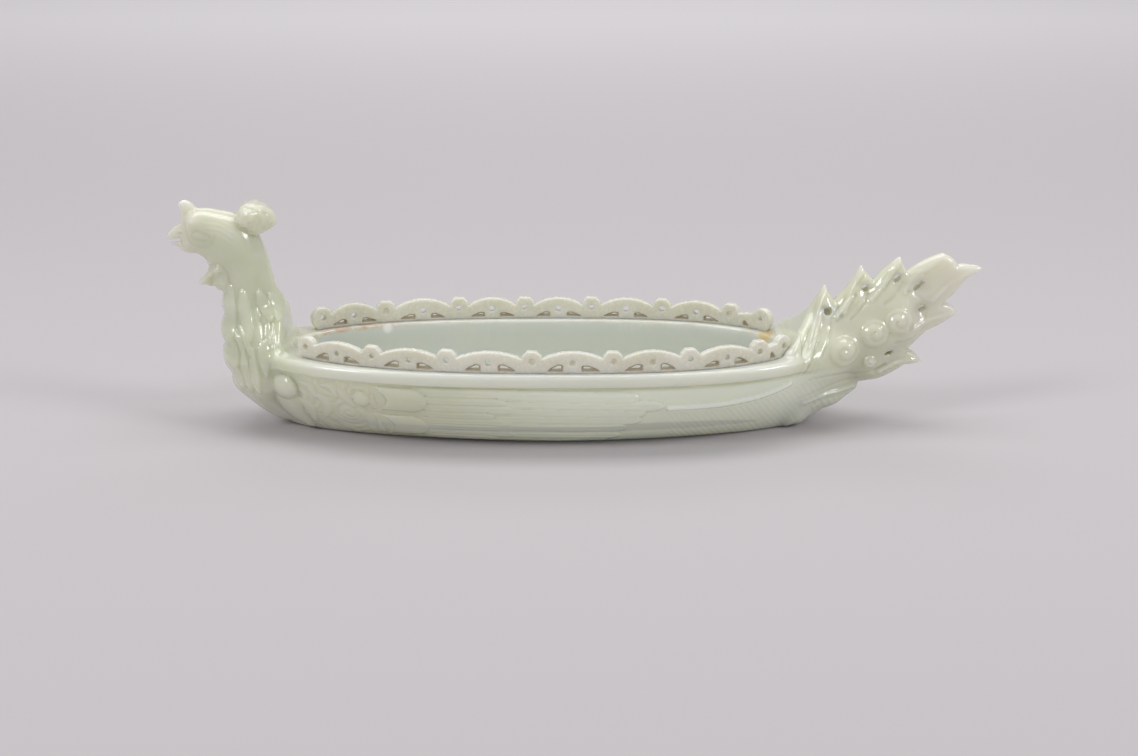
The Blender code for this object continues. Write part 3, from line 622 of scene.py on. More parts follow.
UPPER_BILL = [
    (-109.6, 61), (-112, 60.8), (-114.6, 59.3), (-116.4, 57.6), (-117.2, 56.2), (-116.9, 55.5),
    (-115.6, 55.7), (-113.4, 55.8), (-110, 55.9),
]
LOWER_BILL = [
    (-108.5, 55), (-112, 55), (-114.4, 54.9), (-116.2, 54.6), (-115.4, 53.9), (-113.6, 53.3),
    (-113.4, 52.5), (-112.2, 52), (-109.4, 51.6),
]
COMB = [
    (-112, 60.6), (-112.4, 63.4), (-112.9, 65.2), (-112.7, 66.5), (-111.4, 67), (-110.2, 66.7),
    (-109, 65.9), (-108, 64.6), (-107.2, 62.6),
]
CREST = [
    (-96.2, 60.4), (-96.3, 63), (-95.4, 65), (-94.2, 66), (-92.8, 66.5), (-91.3, 66.4), (-90.3, 66),
    (-88.7, 65.6), (-87.6, 64.8), (-86.4, 63.9), (-85.6, 62.6), (-85.2, 61.2), (-85.6, 60),
    (-86.8, 59), (-88.4, 58.2), (-90.2, 57.4), (-92.4, 57.6),
]
ROSETTE = (-93.4, 62.6)
WATTLE = [
    (-103, 49.2), (-105, 48.2), (-106, 46.2), (-108.6, 43.2), (-108, 42.2), (-106.6, 42.2),
    (-105.6, 41.4), (-104.2, 41.8), (-103.2, 40.7), (-101.8, 41), (-100.6, 40.4), (-99.2, 42),
    (-98.6, 45), (-99.4, 48.6),
]


def bill_fields(g):
    """Both halves of the bill, each with the softness of its join."""
    X, Z = g.X, g.Z
    taper = 2.9 - 1.9 * rise(-X, 110.0, 116.8)
    nostril = 0.5 * leaf(X, Z, [(-113.6, 57.6), (-112.2, 58.0)], (0.3, 0.45, 0.3))
    ridge = 0.3 * groove(X, Z, [(-116.4, 55.6), (-113.4, 56.2), (-110.4, 56.4)], 0.4)
    yield outline_plate(g, UPPER_BILL, taper - nostril + ridge, taper - 0.2), 0.5
    taper = 2.2 - 1.4 * rise(-X, 109.0, 114.4)
    yield outline_plate(g, LOWER_BILL, taper, 0.8 * taper), 0.4


def crest_relief(X, Z):
    """A flower near the front of the crest, and soft lobes behind it."""
    x, z = ROSETTE
    relief = 1.1 * dome(np.hypot(X - x, Z - z) / 2.8)
    relief -= 0.5 * mound(X, Z, x, z, 0.7)
    for k in range(6):
        turn = 2.0 * pi * k / 6 + 0.4
        relief -= 0.5 * mound(X, Z, x + 1.7 * cos(turn), z + 1.7 * sin(turn), 0.6)
    inside = inside_distance(X, Z, curve_through(CREST, 4))
    relief -= 0.35 * np.exp(-((inside - 1.1) / 0.35) ** 2)
    relief -= 0.35 * groove(X, Z, [(-90.6, 59.0), (-89.4, 61.4), (-90.0, 64.6)], 0.4)
    relief -= 0.30 * groove(X, Z, [(-88.4, 59.8), (-87.4, 61.8), (-88.0, 63.8)], 0.4)
    return relief * (inside > 0.0)


def crest_field(g):
    X, Z = g.X, g.Z
    half = 5.4 - 2.6 * rise(X, -91.0, -86.0) + crest_relief(X, Z)
    return outline_plate(g, CREST, half, 2.8)


def wattle_field(g):
    X, Z = g.X, g.Z
    far, share = line_distance(X, Z, [(-102.6, 47.8), (-108.2, 43.0)])
    half = 1.6 + 2.0 * np.exp(-(far / 1.3) ** 2) * (1.0 - 0.6 * share)
    half += 4.0 * rise(X, -105.4, -100.0) - 1.2 * rise(-Z, -44.0, -41.0)
    half -= 0.30 * groove(X, Z, [(-103.6, 46.6), (-104.4, 43.8), (-105.0, 41.8)], 0.4)
    return outline_plate(g, WATTLE, half, 0.8)


def head_parts(g):
    """Every piece of the neck and head, each with the softness of its join."""
    block = rise(g.X, -89.0, -85.0) * rise(g.Z, 21.0, 25.0)
    yield head_field(g), g.spread(1.2 + 3.0 * block)
    yield wattle_field(g), 0.5
    yield crest_field(g), 0.5
    yield outline_plate(g, COMB, 1.5, 1.2), 0.8
    yield from bill_fields(g)


# Tail

TAIL_OUTLINE = [
    (60.2, 25.6, -0.7), (72.1, 42.4, -0.3), (75, 37.6, -0.6), (82.2, 48.1, -0.2), (86, 43.7, 0.3),
    (93.3, 50.6, -0.2), (95.6, 46.2, 0.6), (105.3, 51.5, 0.6), (110, 48.3, 0.2), (113.6, 48.1, 0.3),
    (117.3, 47.2, 0.3), (113, 44.2, 0.2), (106.9, 36.9, 0.4), (111.1, 34.1, 0.5), (102.2, 28.5, 0),
    (97.2, 22.9, 0.5), (101.5, 19.2, 0.4), (96.6, 18.2, 0.3), (88.4, 13.7, 0), (83.2, 12.9, 0.5),
    (81.8, 10.1, 0.5), (73, 5.3, 0.3), (66.4, 1.2, 0), (62.6, 1.2, 0), (62.6, 23, 0),
]
TAIL_STATIONS = [
    (60.5, 24, 16.5), (61, 14, 14), (61, 6, 10), (63, 27, 13.2), (66, 21, 14.6), (66, 12, 12),
    (66, 5, 8), (66, 30, 8.6), (70, 22, 12), (70, 13, 10.2), (70, 36, 4.4), (72, 41.5, 2.2),
    (75, 24, 9.6), (76, 34, 6), (80, 40, 3.8), (82, 46.5, 1.9), (86, 29, 7.8), (86, 37, 5.6),
    (90, 43, 3.6), (93, 49, 1.8), (94, 32, 6.4), (86, 20, 7), (92, 18, 5), (98, 19.6, 3),
    (101, 19, 1.5), (100, 40, 4), (104, 47, 2.8), (106, 50.5, 1.8), (110, 45, 2.6),
    (116.5, 47, 1.4), (104, 33, 3.2), (110, 34, 1.6), (75, 11, 7.6), (82, 12, 4), (70, 4, 6.4),
]
TAIL_HOLES = [
    (72.7, 35.2, 1.2, 1.2, 0), (83.5, 41.6, 1, 1, 0), (92.6, 44.5, 1.5, 0.9, 0.8),
    (98.9, 42.3, 2.1, 0.7, 0.8), (100.3, 35.6, 1.2, 0.85, 0.6), (90.7, 23.1, 1.4, 0.6, 0.25),
]
TAIL_SCROLLS = [
    (77.4, 24.6, 4.5, 0.3, 1), (86, 29.4, 4.1, 1.2, 1), (93, 32.6, 4, 2.2, 1),
    (85.2, 20.8, 2, 0, -1),
]
FLAME_RIDGES = [
    [(64.8, 21.6), (67.6, 29.6), (70, 35.6), (71.9, 41.6)],
    [(66.4, 23.4), (69.2, 30.4), (71, 35.2)],
    [(75.4, 34), (78.6, 39.4), (82, 47.2)], [(77.2, 35.2), (79.6, 39.2)],
    [(84.8, 39), (89, 43.8), (93, 49.8)], [(94.6, 41), (98.4, 46), (104.6, 50.2)],
    [(96.4, 42), (99.4, 45.2)], [(102.6, 38), (108.4, 43.4), (115.6, 47)],
    [(97.8, 30.6), (103.6, 32.8), (109.8, 34)], [(88.6, 17.6), (94, 19.8), (100.6, 19.6)],
    [(66, 9.4), (72.4, 11.6), (81, 12.4)],
]
FLAME_GROOVES = [
    [(73.6, 33.4), (72.8, 28.6), (70.6, 24)], [(84.2, 40.2), (82.4, 36.6), (79.2, 33.2)],
    [(94, 43.6), (92, 40.2), (88.8, 37.6)], [(97.4, 40.4), (101.4, 36.8), (101, 33)],
    [(66.6, 17.6), (74.6, 17.8), (82.6, 17), (90, 19.6)],
    [(63.5, 11.3), (70.4, 13.4), (76, 14.8), (82.6, 15)],
    [(104, 46.6), (107.4, 48.4), (110.6, 48.4)], [(100.4, 29.8), (96.8, 26.6), (92.4, 26.4)],
]


def scroll_relief(X, Z, x, z, radius, turn, way):
    """A domed curl with a spiral groove."""
    r = np.hypot(X - x, Z - z)
    angle = way * np.arctan2(Z - z, X - x) - turn
    cap = 1.2 * np.clip(1.0 - (r / radius) ** 2, 0.0, 1.0) ** 0.7
    cut = np.zeros(X.shape)
    for lap in (0, 1):
        arm = radius * (0.10 + 0.62 * ((angle % (2.0 * pi)) / (2.0 * pi) + lap))
        cut = np.maximum(cut, np.exp(-((r - arm) / (0.15 * radius)) ** 2) * (arm < radius))
    return cap - 0.42 * cut * rise(radius - r, 0.0, 1.2)


def tail_relief(X, Z):
    relief = np.zeros(X.shape)
    for spot in TAIL_SCROLLS:
        relief = np.maximum(relief, scroll_relief(X, Z, *spot))
    for line in FLAME_RIDGES:
        far, _ = line_distance(X, Z, curve_through(line, closed=False))
        relief += 0.70 * np.exp(-(far / 0.45) ** 2) - 0.25 * np.exp(-((far - 1.3) / 0.7) ** 2)
    for line in FLAME_GROOVES:
        relief -= 0.35 * groove(X, Z, line, 0.45)
    root = rise(-X, -72.0, -66.0) * rise(Z, 17.0, 20.0)
    root *= fall(Z, 30.0, 36.0)
    relief += root * barbs(X, Z, radians(118.0), 1.6, 0.40)
    flame = rise(Z - 0.75 * X, -26.0, -23.0) * rise(X, 73.0, 76.0)
    relief += flame * fall(X, 98.0, 101.0) * barbs(X, Z, radians(128.0), 1.7, 0.28)
    lobe = fall(Z, 9.0, 11.0) * rise(X, 66.0, 69.0)
    relief += lobe * barbs(X, Z, radians(60.0), 1.7, 0.22)
    low_leaf = rise(X, 88.0, 91.0) * fall(Z, 19.0, 20.5)
    relief += low_leaf * barbs(X, Z, radians(20.0), 1.3, 0.18)
    return relief


def tail_field(g):
    X, Z = g.X, g.Z
    distance = inside_distance(X, Z, arc_outline(TAIL_OUTLINE))
    half = from_stations(X, Z, TAIL_STATIONS, 3.4)
    deep = rise(distance, 0.0, 1.6)
    edge = np.clip(half - 0.35, 0.4, 5.0)
    edge = np.where((X < 64.0) & (Z > 22.0), 1.2, edge)
    half = half + tail_relief(X, Z) * deep * np.clip(half / 6.0, 0.35, 1.0)
    for x, z, a, b, _ in TAIL_HOLES[1:-1]:
        thin = np.exp(-(np.hypot(X - x, Z - z) / (max(a, b) + 1.2)) ** 2)
        half = half * (1.0 - thin) + np.minimum(half, 2.0) * thin
    solid = plate(g, distance, half, edge)
    for x, z, a, b, turn in TAIL_HOLES:
        u = (X - x) * cos(turn) + (Z - z) * sin(turn)
        v = (Z - z) * cos(turn) - (X - x) * sin(turn)
        far = (np.sqrt((u / a) ** 2 + (v / b) ** 2) - 1.0) * min(a, b)
        solid = np.maximum(solid, -g.spread(far))
    return solid


# The carved body


def mark_hollows(boat, x, z, step):
    """Notes on each point if the carving lies below or above its surroundings, for painted shade
    and highlight.
    """
    X, Z = np.meshgrid(x, z, indexing="ij")
    relief = wing_relief(X, Z) * fall(Z, 19.6, 20.5) * (X > -86.0) * (X < 62.0)
    head = (head_relief(X, Z) + crest_relief(X, Z)) * (X < -84.0)
    relief += head + tail_relief(X, Z) * (X > 62.0)
    around = relief.copy()
    for _ in range(int((1.1 / step) ** 2)):
        around[1:-1] = (around[:-2] + 2.0 * around[1:-1] + around[2:]) / 4.0
        around[:, 1:-1] = (around[:, :-2] + 2.0 * around[:, 1:-1] + around[:, 2:]) / 4.0
    hollow = np.clip((around - relief) / 0.40, -1.0, 1.0)
    px, py, pz = points_of(boat)
    i = np.clip(((px - x[0]) / step + 0.5).astype(int), 0, len(x) - 1)
    j = np.clip(((pz - z[0]) / step + 0.5).astype(int), 0, len(z) - 1)
    middle = (px > -84.0) & (px < 62.0)
    inside = middle & (np.abs(py) < side_breadth(X, Z)[i, j] - 1.5)
    share = np.where(px < -55.0, 0.45, 0.75)
    mark(boat, "hollow", share * np.where(inside, 0.0, hollow[i, j]))
    above = (pz > FLOOR - 1.0) & (pz < 26.0) & middle
    within = plan_breadth(px, **WELL) + 0.7 - np.abs(py)
    mark(boat, "lining", rise(within, 0.0, 0.4) * above)
    behind = plan_breadth(px, **RAIL_PLAN) + 0.4 - np.abs(py)
    mark(boat, "ledge", rise(behind, 0.0, 0.8) * above)


def carve_body():
    step = BODY_GRAIN
    x = np.arange(*BODY_X, step)
    y = np.arange(-MIDDLE_ROW, BODY_Y / step) * step
    z = np.arange(*BODY_Z, step)
    solid = np.empty((len(x), len(y), len(z)), np.float32)
    bow, stern = np.searchsorted(x, (HEAD_END, TAIL_START))
    for start, stop in ((0, bow), (bow, stern), (stern, len(x))):
        a, b = max(start - GRID_LAP, 0), min(stop + GRID_LAP, len(x))
        g = Window(x[a:b], y, z, step)
        part = hull_field(g)
        if start == 0:
            for piece, soft in head_parts(g):
                part = merged(part, piece, soft)
        if start == stern:
            part = merged(part, tail_field(g), TAIL_JOIN)
        part = rounded(part, -well_field(g), 0.55)
        solid[start:stop] = part[start - a:len(part) - (b - stop)]
    boat = from_half("carved_boat", solid, x, z, step, 2)
    thin_out(boat, BODY_TRIANGLES)
    mark_hollows(boat, x, z, step)
    return boat


# Railings


def rail_line(side, start, length):
    """Middle line of a railing from the bow end, as long as its strip."""
    x = start + np.linspace(0.0, length, 400)
    y = side * plan_breadth(x, **RAIL_PLAN)
    line = np.stack([x, y, RIM_HEIGHT + RAIL_GAP + sheer(x)], axis=1)
    run = np.r_[0.0, np.cumsum(np.sqrt((np.diff(line, axis=0) ** 2).sum(axis=1)))]
    return line[run < length + 0.5]


def end_lobe(middle, radius, start, end):
    turns = np.linspace(start, end, 12) * pi
    return [(middle + radius * cos(t), radius + radius * sin(t)) for t in turns]


def rail_outline(knobs, height, chance):
    """Straight foot and scalloped top edge: arches between flat-topped knobs."""
    half, radius = KNOB_HALF_WIDTH, 0.5 * height
    points = [(knobs[0] - 0.5 * radius, -FOOT_SPARE)] + end_lobe(knobs[0], radius, 1.2, 0.2)
    for left, right in zip(knobs[:-2], knobs[1:-1]):
        top = height + chance.uniform(-0.15, 0.1)
        arch = height - 0.15 + chance.uniform(-0.2, 0.2)
        start, end = left + half + 0.2, right - half - 0.2
        for t in np.linspace(0.0, 1.0, 16):
            points.append((start + (end - start) * t,
                           SADDLE_HEIGHT + (arch - SADDLE_HEIGHT) * sin(pi * t) ** 0.8))
        corner = KNOB_CORNER + chance.uniform(-0.15, 0.2)
        points += [(right - half, SADDLE_HEIGHT + 0.3), (right - half, top - corner),
                   (right - half + corner, top), (right + half - corner, top - 0.1),
                   (right + half, top - corner)]
    points.append((knobs[-2] + half + 0.2, SADDLE_HEIGHT))
    points += end_lobe(knobs[-1], radius, 0.85, -0.2)
    points.append((knobs[-1] + 0.5 * radius, -FOOT_SPARE))
    return np.array(points)


def rail_openings(knobs, opening, chance):
    """Windows on each side of every arch's middle, and the small one in the short bay."""
    loops = []
    for left, right in zip(knobs[:-2], knobs[1:-1]):
        middle = 0.5 * (left + right)
        for side in (-1.0, 1.0):
            tall = opening * chance.uniform(0.9, 1.15)
            long = OPENING_LENGTH * chance.uniform(0.9, 1.08)
            inset = OPENING_INSET + chance.uniform(-0.2, 0.2)
            loops.append([(middle + side * (inset + long * u), OPENING_SILL + tall * v)
                          for u, v in OPENING_PROFILE])
    middle = 0.5 * (knobs[-2] + knobs[-1]) - 0.8
    loops.append([(middle + 1.7 * u, OPENING_SILL + opening * v) for u, v in OPENING_PROFILE])
    return [np.array(loop) for loop in loops]


def flat_rail(name, plan, blind, chance):
    """The strip laid flat: along it in X, its thickness in Y, its height in Z."""
    step = RAIL_GRAIN
    height = plan["height"]
    knobs = [0.5 * height]
    for bay in plan["bays"]:
        knobs.append(knobs[-1] + bay)
    arches = [0.5 * (a + b) for a, b in zip(knobs[:-2], knobs[1:-1])]
    x = np.arange(-1.0, knobs[-1] + 0.5 * height + 1.0, step)
    y = np.arange(-MIDDLE_ROW, (0.5 * RAIL_THICKNESS + 0.8) / step) * step
    z = np.arange(-1.6, height + 0.9, step)
    g = Window(x, y, z, step)
    X, Z = g.X, g.Z
    distance = inside_distance(X, Z, rail_outline(knobs, height, chance))
    half = 0.5 * RAIL_THICKNESS - 0.12 * rise(Z, 3.0, height)
    centres = [(k, 0.52) for k in knobs] + [(a, 0.46) for a in arches]
    for number, (along, share) in enumerate(centres):
        size = HOLE_RADIUS * chance.uniform(0.9, 1.15)
        far = np.hypot(X - along - chance.uniform(-0.25, 0.25), Z - share * height)
        if number in blind:
            half = half - BLIND_DEPTH * dome(far / (size + 0.15))
        else:
            distance = np.minimum(distance, far - size)
    windows = rail_openings(knobs, plan["opening"], chance)
    opened = np.max([inside_distance(X, Z, loop) for loop in windows], axis=0)
    web = WEB_DEPTH * fall(np.abs(g.y), 0.3, 0.9)
    edge = np.maximum(-g.spread(distance), g.spread(opened) - web)
    solid = rounded(g.y - g.spread(half), edge, RAIL_EDGE)
    rail = from_half(name, solid, x, z, step, 4)
    shade_windows(rail, windows)
    return rail


def shade_windows(rail, windows):
    """Marks painted shade: most of it deep inside the windows, and some around them."""
    x, y, z = points_of(rail)
    far = np.min([np.abs(inside_distance(x, z, loop)) for loop in windows], axis=0)
    deep = fall(np.abs(y), 0.36 * RAIL_THICKNESS, 0.5 * RAIL_THICKNESS)
    mark(rail, "window_shade", np.exp(-(far / (0.4 + 0.5 * deep)) ** 2) * (0.30 + 0.70 * deep))


class Tree:
    """A node tree under construction: nodes by type, settings and inputs."""

    def __init__(self, tree):
        self.tree = tree

    def node(self, kind, settings=None, **inputs):
        made = self.tree.nodes.new(kind)
        for name, value in (settings or {}).items():
            setattr(made, name, value)
        for name, value in inputs.items():
            self.feed(made.inputs[int(name[1:])] if name[1:].isdigit() else
                      made.inputs[name.replace("_", " ")], value)
        return made

    def feed(self, socket, value):
        if isinstance(value, bpy.types.NodeSocket):
            self.tree.links.new(value, socket)
        else:
            socket.default_value = value


def bend_tree():
    """Bends a flat strip along a line on the rim: X runs along it, Y across, Z up."""
    tree = bpy.data.node_groups.new("bend_along_rim", "GeometryNodeTree")
    for name, way, kind in (("Strip", "INPUT", "Geometry"), ("Rim line", "INPUT", "Object"),
                            ("Finish", "INPUT", "Material"), ("Railing", "OUTPUT", "Geometry")):
        tree.interface.new_socket(name, in_out=way, socket_type=f"NodeSocket{kind}")
    t = Tree(tree)

    def vector(operation, **inputs):
        return t.node("ShaderNodeVectorMath", dict(operation=operation), **inputs).outputs[0]

    entry = t.node("NodeGroupInput").outputs
    place = t.node("GeometryNodeInputPosition").outputs[0]
    parts = t.node("ShaderNodeSeparateXYZ", Vector=place).outputs
    line = t.node("GeometryNodeObjectInfo", Object=entry["Rim line"]).outputs["Geometry"]
    sample = t.node("GeometryNodeSampleCurve", dict(mode="LENGTH", use_all_curves=True),
                    Curves=line, Length=parts["X"]).outputs
    side = vector("NORMALIZE", _0=vector("CROSS_PRODUCT", _0=(0.0, 0.0, 1.0), _1=sample["Tangent"]))
    across = vector("SCALE", _0=side, Scale=parts["Y"])
    up = t.node("ShaderNodeCombineXYZ", Z=parts["Z"]).outputs[0]
    moved = vector("ADD", _0=vector("ADD", _0=sample["Position"], _1=across), _1=up)
    bent = t.node("GeometryNodeSetPosition", Geometry=entry["Strip"], Position=moved).outputs[0]
    real = t.node("GeometryNodeRealizeInstances", Geometry=bent).outputs[0]
    done = t.node("GeometryNodeSetMaterial", Geometry=real, Material=entry["Finish"]).outputs[0]
    t.node("NodeGroupOutput", Railing=done)
    return tree


def bend_rail(name, side, plan, tree, finish, blind, chance):
    """Lays a railing on the rim of one side."""
    rail = flat_rail(name, plan, blind, chance)
    line = rail_line(side, plan["start"], sum(plan["bays"]) + plan["height"])
    curve = bpy.data.curves.new(f"{name}_line", "CURVE")
    curve.dimensions = "3D"
    spline = curve.splines.new("POLY")
    spline.points.add(len(line) - 1)
    spline.points.foreach_set("co", np.c_[line * MM, np.ones(len(line))].ravel())
    guide = bpy.data.objects.new(f"{name}_line", curve)
    bpy.context.scene.collection.objects.link(guide)
    bend = rail.modifiers.new("bend", "NODES")
    bend.node_group = tree
    values = {"Rim line": guide, "Finish": finish}
    for item in tree.interface.items_tree:
        if item.in_out == "INPUT" and item.name in values:
            bend[item.identifier] = values[item.name]
    settle(rail)
    bpy.data.objects.remove(guide, do_unlink=True)
    thin_out(rail, RAIL_TRIANGLES)
    return rail


# Finishes


class Signal:
    """A shader socket that takes plain arithmetic."""

    def __init__(self, finish, socket):
        self.finish = finish
        self.socket = socket

    def __add__(self, other):
        return self.finish.maths("ADD", self, other)

    def __sub__(self, other):
        return self.finish.maths("SUBTRACT", self, other)

    def __rsub__(self, other):
        return self.finish.maths("SUBTRACT", other, self)

    def __mul__(self, other):
        return self.finish.maths("MULTIPLY", self, other)

    def __neg__(self):
        return 0.0 - self

    __radd__ = __add__
    __rmul__ = __mul__

    def rise(self, start, end):
        node = self.finish.node("ShaderNodeMapRange", dict(interpolation_type="SMOOTHSTEP"),
                                Value=self.socket, From_Min=start, From_Max=end)
        return Signal(self.finish, node.outputs[0])

    def fall(self, start, end):
        return 1.0 - self.rise(start, end)


def raw(value):
    return value.socket if isinstance(value, Signal) else value


class Finish(Tree):
    """A material whose pattern lies on the object's own coordinates."""

    def __init__(self, name):
        self.material = bpy.data.materials.new(name)
        self.material.use_nodes = True
        super().__init__(self.material.node_tree)
        self.shader = self.tree.nodes["Principled BSDF"]
        self.place = self.node("ShaderNodeTexCoord").outputs["Object"]
        parts = self.node("ShaderNodeSeparateXYZ", Vector=self.place).outputs
        self.x, self.y, self.z = (Signal(self, parts[k]) for k in "XYZ")

    def maths(self, operation, *values):
        inputs = {f"_{i}": raw(value) for i, value in enumerate(values)}
        node = self.node("ShaderNodeMath", dict(operation=operation), **inputs)
        return Signal(self, node.outputs[0])

    def mark(self, name):
        """The value that mark() stored on the points."""
        node = self.node("ShaderNodeAttribute", dict(attribute_name=name))
        return Signal(self, node.outputs["Fac"])

    def noise(self, scale, detail, rough=0.5, stretch=(1.0, 1.0, 1.0), shift=0.0):
        spot = self.node("ShaderNodeMapping", Vector=self.place, Scale=stretch,
                         Location=(shift, 0.0, 0.0)).outputs[0]
        node = self.node("ShaderNodeTexNoise", Vector=spot, Scale=scale, Detail=detail,
                         Roughness=rough)
        return Signal(self, node.outputs["Fac"])

    def blend(self, share, first, second):
        """The first colour, turned into the second by a share from 0 to 1."""
        node = self.node("ShaderNodeMix", dict(data_type="RGBA"), _0=raw(share))
        self.feed(node.inputs[6], raw(first) if isinstance(first, Signal) else (*first, 1.0))
        self.feed(node.inputs[7], (*second, 1.0))
        return Signal(self, node.outputs[2])

    def layer(self, colour, *layers):
        """Lays colours one after another over the first, each by its share."""
        for share, tint in layers:
            colour = self.blend(share, colour, tint)
        return colour

    def near(self, x, y, z, radius):
        """1 at a place in metres, fading to 0 at a radius."""
        far = self.node("ShaderNodeVectorMath", dict(operation="DISTANCE"),
                        _0=self.place, _1=(x, y, z)).outputs["Value"]
        return Signal(self, far).fall(0.35 * radius, radius)

    def set(self, **values):
        for name, value in values.items():
            self.feed(self.shader.inputs[name.replace("_", " ")], raw(value))

    def roughen(self, strength, distance, height):
        bump = self.node("ShaderNodeBump", Strength=strength, Distance=distance, Height=raw(height))
        self.set(Normal=bump.outputs[0])


JADE_PALE = (0.715, 0.722, 0.572)
JADE_GREEN = (0.630, 0.662, 0.490)
# Milky jade, also used as painted highlight on raised carving and in the well
JADE_MILKY_AND_HIGHLIGHT = (0.740, 0.755, 0.690)
JADE_WARM = (0.770, 0.750, 0.655)
# Painted shade for the carved hollows
CARVING_SHADE = (0.400, 0.440, 0.320)
# Painted light for the inside of the well
WELL_PAINTED_LIGHT = (0.640, 0.670, 0.625)
# Painted light laid on the near flank
FLANK_PAINTED_LIGHT = (0.848, 0.884, 0.790)
BAND_PALE = (0.760, 0.775, 0.700)
CREAM = (0.715, 0.705, 0.605)
CREAM_LIGHT = (0.765, 0.755, 0.675)
OLD_GLUE = (0.560, 0.330, 0.200)
# Painted shade in and behind the railing windows
WINDOW_SHADE = (0.430, 0.350, 0.220)
AMBER_GLUE = (0.720, 0.540, 0.250)
CHIP_WHITE = (0.900, 0.900, 0.850)
PIT_BROWN = (0.120, 0.090, 0.060)
TABLE_FRONT = (0.515, 0.490, 0.500)
TABLE_MIDDLE = (0.565, 0.538, 0.548)
TABLE_BACK = (0.900, 0.870, 0.880)

# Spots on the jade: x, y, z and radius in metres, then share and colour
SPOTS = [
    ((0.0567, 0.0092, 0.0242, 0.0036), 0.85, AMBER_GLUE),
    ((-0.0570, 0.0185, 0.0233, 0.0022), 1.0, CHIP_WHITE),
    ((0.0135, -0.0292, 0.0186, 0.0006), 0.8, PIT_BROWN),
]
BARB_SLANT = radians(56.0)
BARB_STEP = 0.00145


def stone_colour(f):
    """Cloudy stone, milky low and warm at its thin ends, with painted light and shade on flank and
    carving.
    """
    cloud = f.noise(26.0, 4.0, 0.55, (0.7, 1.0, 1.3)).rise(0.40, 0.66)
    vein = f.noise(46.0, 5.0, 0.6, (0.35, 1.0, 1.6), 3.0).rise(0.54, 0.70)
    mottle = f.noise(420.0, 2.0, 0.5, shift=1.0).rise(0.3, 0.8)
    # Painted light: the near flank is lightened where light shines through the jade.
    flank = f.x.rise(-0.060, 0.010) * f.x.fall(0.060, 0.080)
    flank = flank * f.z.fall(0.0190, 0.0205) * (-f.y).rise(0.004, 0.010)
    # Painted shade in carved hollows, painted highlight on raised carving.
    hollow = f.mark("hollow")
    tips = f.x.rise(0.084, 0.110) * 0.9 + (-f.x).rise(0.104, 0.114) * 0.6
    tips = tips + f.z.rise(0.056, 0.066) * 0.5
    return f.layer(
        JADE_PALE, (cloud, JADE_GREEN), (vein * 0.40, JADE_MILKY_AND_HIGHLIGHT), (mottle * 0.10, JADE_MILKY_AND_HIGHLIGHT),
        (f.z.fall(0.004, 0.017) * 0.5, JADE_MILKY_AND_HIGHLIGHT), (flank * 0.85, FLANK_PAINTED_LIGHT),
        (hollow.rise(0.05, 1.0) * 0.60, CARVING_SHADE), ((-hollow).rise(0.1, 1.0) * 0.35, JADE_MILKY_AND_HIGHLIGHT),
        (f.maths("MINIMUM", tips, 1.0), JADE_WARM))


def rim_colour(f, colour):
    """Adds the pale band, painted light in the well, glue on the far ledge, painted shade on the
    near one.
    """
    band = f.z.rise(0.0200, 0.0212) * f.z.fall(0.0262, 0.0268)
    band = band * f.x.fall(0.058, 0.066) * f.x.rise(-0.084, -0.070)
    # Painted light: the well's inside is toned grey, and its pale streaks are painted highlights.
    inner = f.mark("lining") * f.z.fall(0.0232, 0.0240)
    streak = f.noise(38.0, 3.0, 0.5, (0.25, 1.0, 2.2), 9.0).rise(0.50, 0.66)
    crust = f.noise(260.0, 4.0, 0.65, (0.5, 1.0, 1.0), 7.0).rise(0.42, 0.60)
    glue = f.y.rise(0.003, 0.007) * (0.25 + f.x.fall(-0.064, -0.048) * 0.75)
    top = f.mark("ledge") * f.z.rise(0.0230, 0.0238) * f.z.fall(0.0253, 0.0260)
    spots = [(f.near(*place) * share, tint) for place, share, tint in SPOTS]
    return f.layer(
        colour, (band * 0.75, BAND_PALE), (inner * 0.85, WELL_PAINTED_LIGHT),
        (inner * streak * 0.40, JADE_MILKY_AND_HIGHLIGHT), (glue * crust * top * 0.70, OLD_GLUE),
        # Painted shade on the near ledge behind the railing, seen through its windows.
        ((-f.y).rise(0.003, 0.007) * top * 0.55, WINDOW_SHADE), *spots)


def barb_lines(f):
    """Fine slanting lines on the lower wing, under the curve of its shaft."""
    back = f.x - 0.034
    shaft = f.maths("MULTIPLY", back, back) * 5.85 + 0.0136
    below = (shaft - f.z).rise(0.0020, 0.0026)
    below = below * f.x.rise(0.024, 0.030) * f.x.fall(0.066, 0.074)
    slant = (f.x * sin(BARB_SLANT) + f.z * cos(BARB_SLANT)) * (2.0 * pi / BARB_STEP)
    return (f.maths("COSINE", slant) * 0.5 + 0.5) * below


def jade_finish():
    """Pale celadon jade, cloudy inside, polished, with old glue along the rim."""
    f = Finish("pale_green_jade")
    colour = rim_colour(f, stone_colour(f))
    rough = f.noise(900.0, 2.0).rise(0.3, 0.7) * 0.05 + 0.13
    f.set(Base_Color=colour, Roughness=rough, Coat_Weight=0.35, Coat_Roughness=0.08,
          IOR=1.6, Subsurface_Weight=1.0, Subsurface_Radius=(1.0, 0.96, 0.75),
          Subsurface_Scale=0.0070)
    wave = f.noise(150.0, 3.0, 0.5, shift=5.0)
    f.roughen(0.35, 0.0005, wave * 0.25 - barb_lines(f) * 0.6)
    return f.material


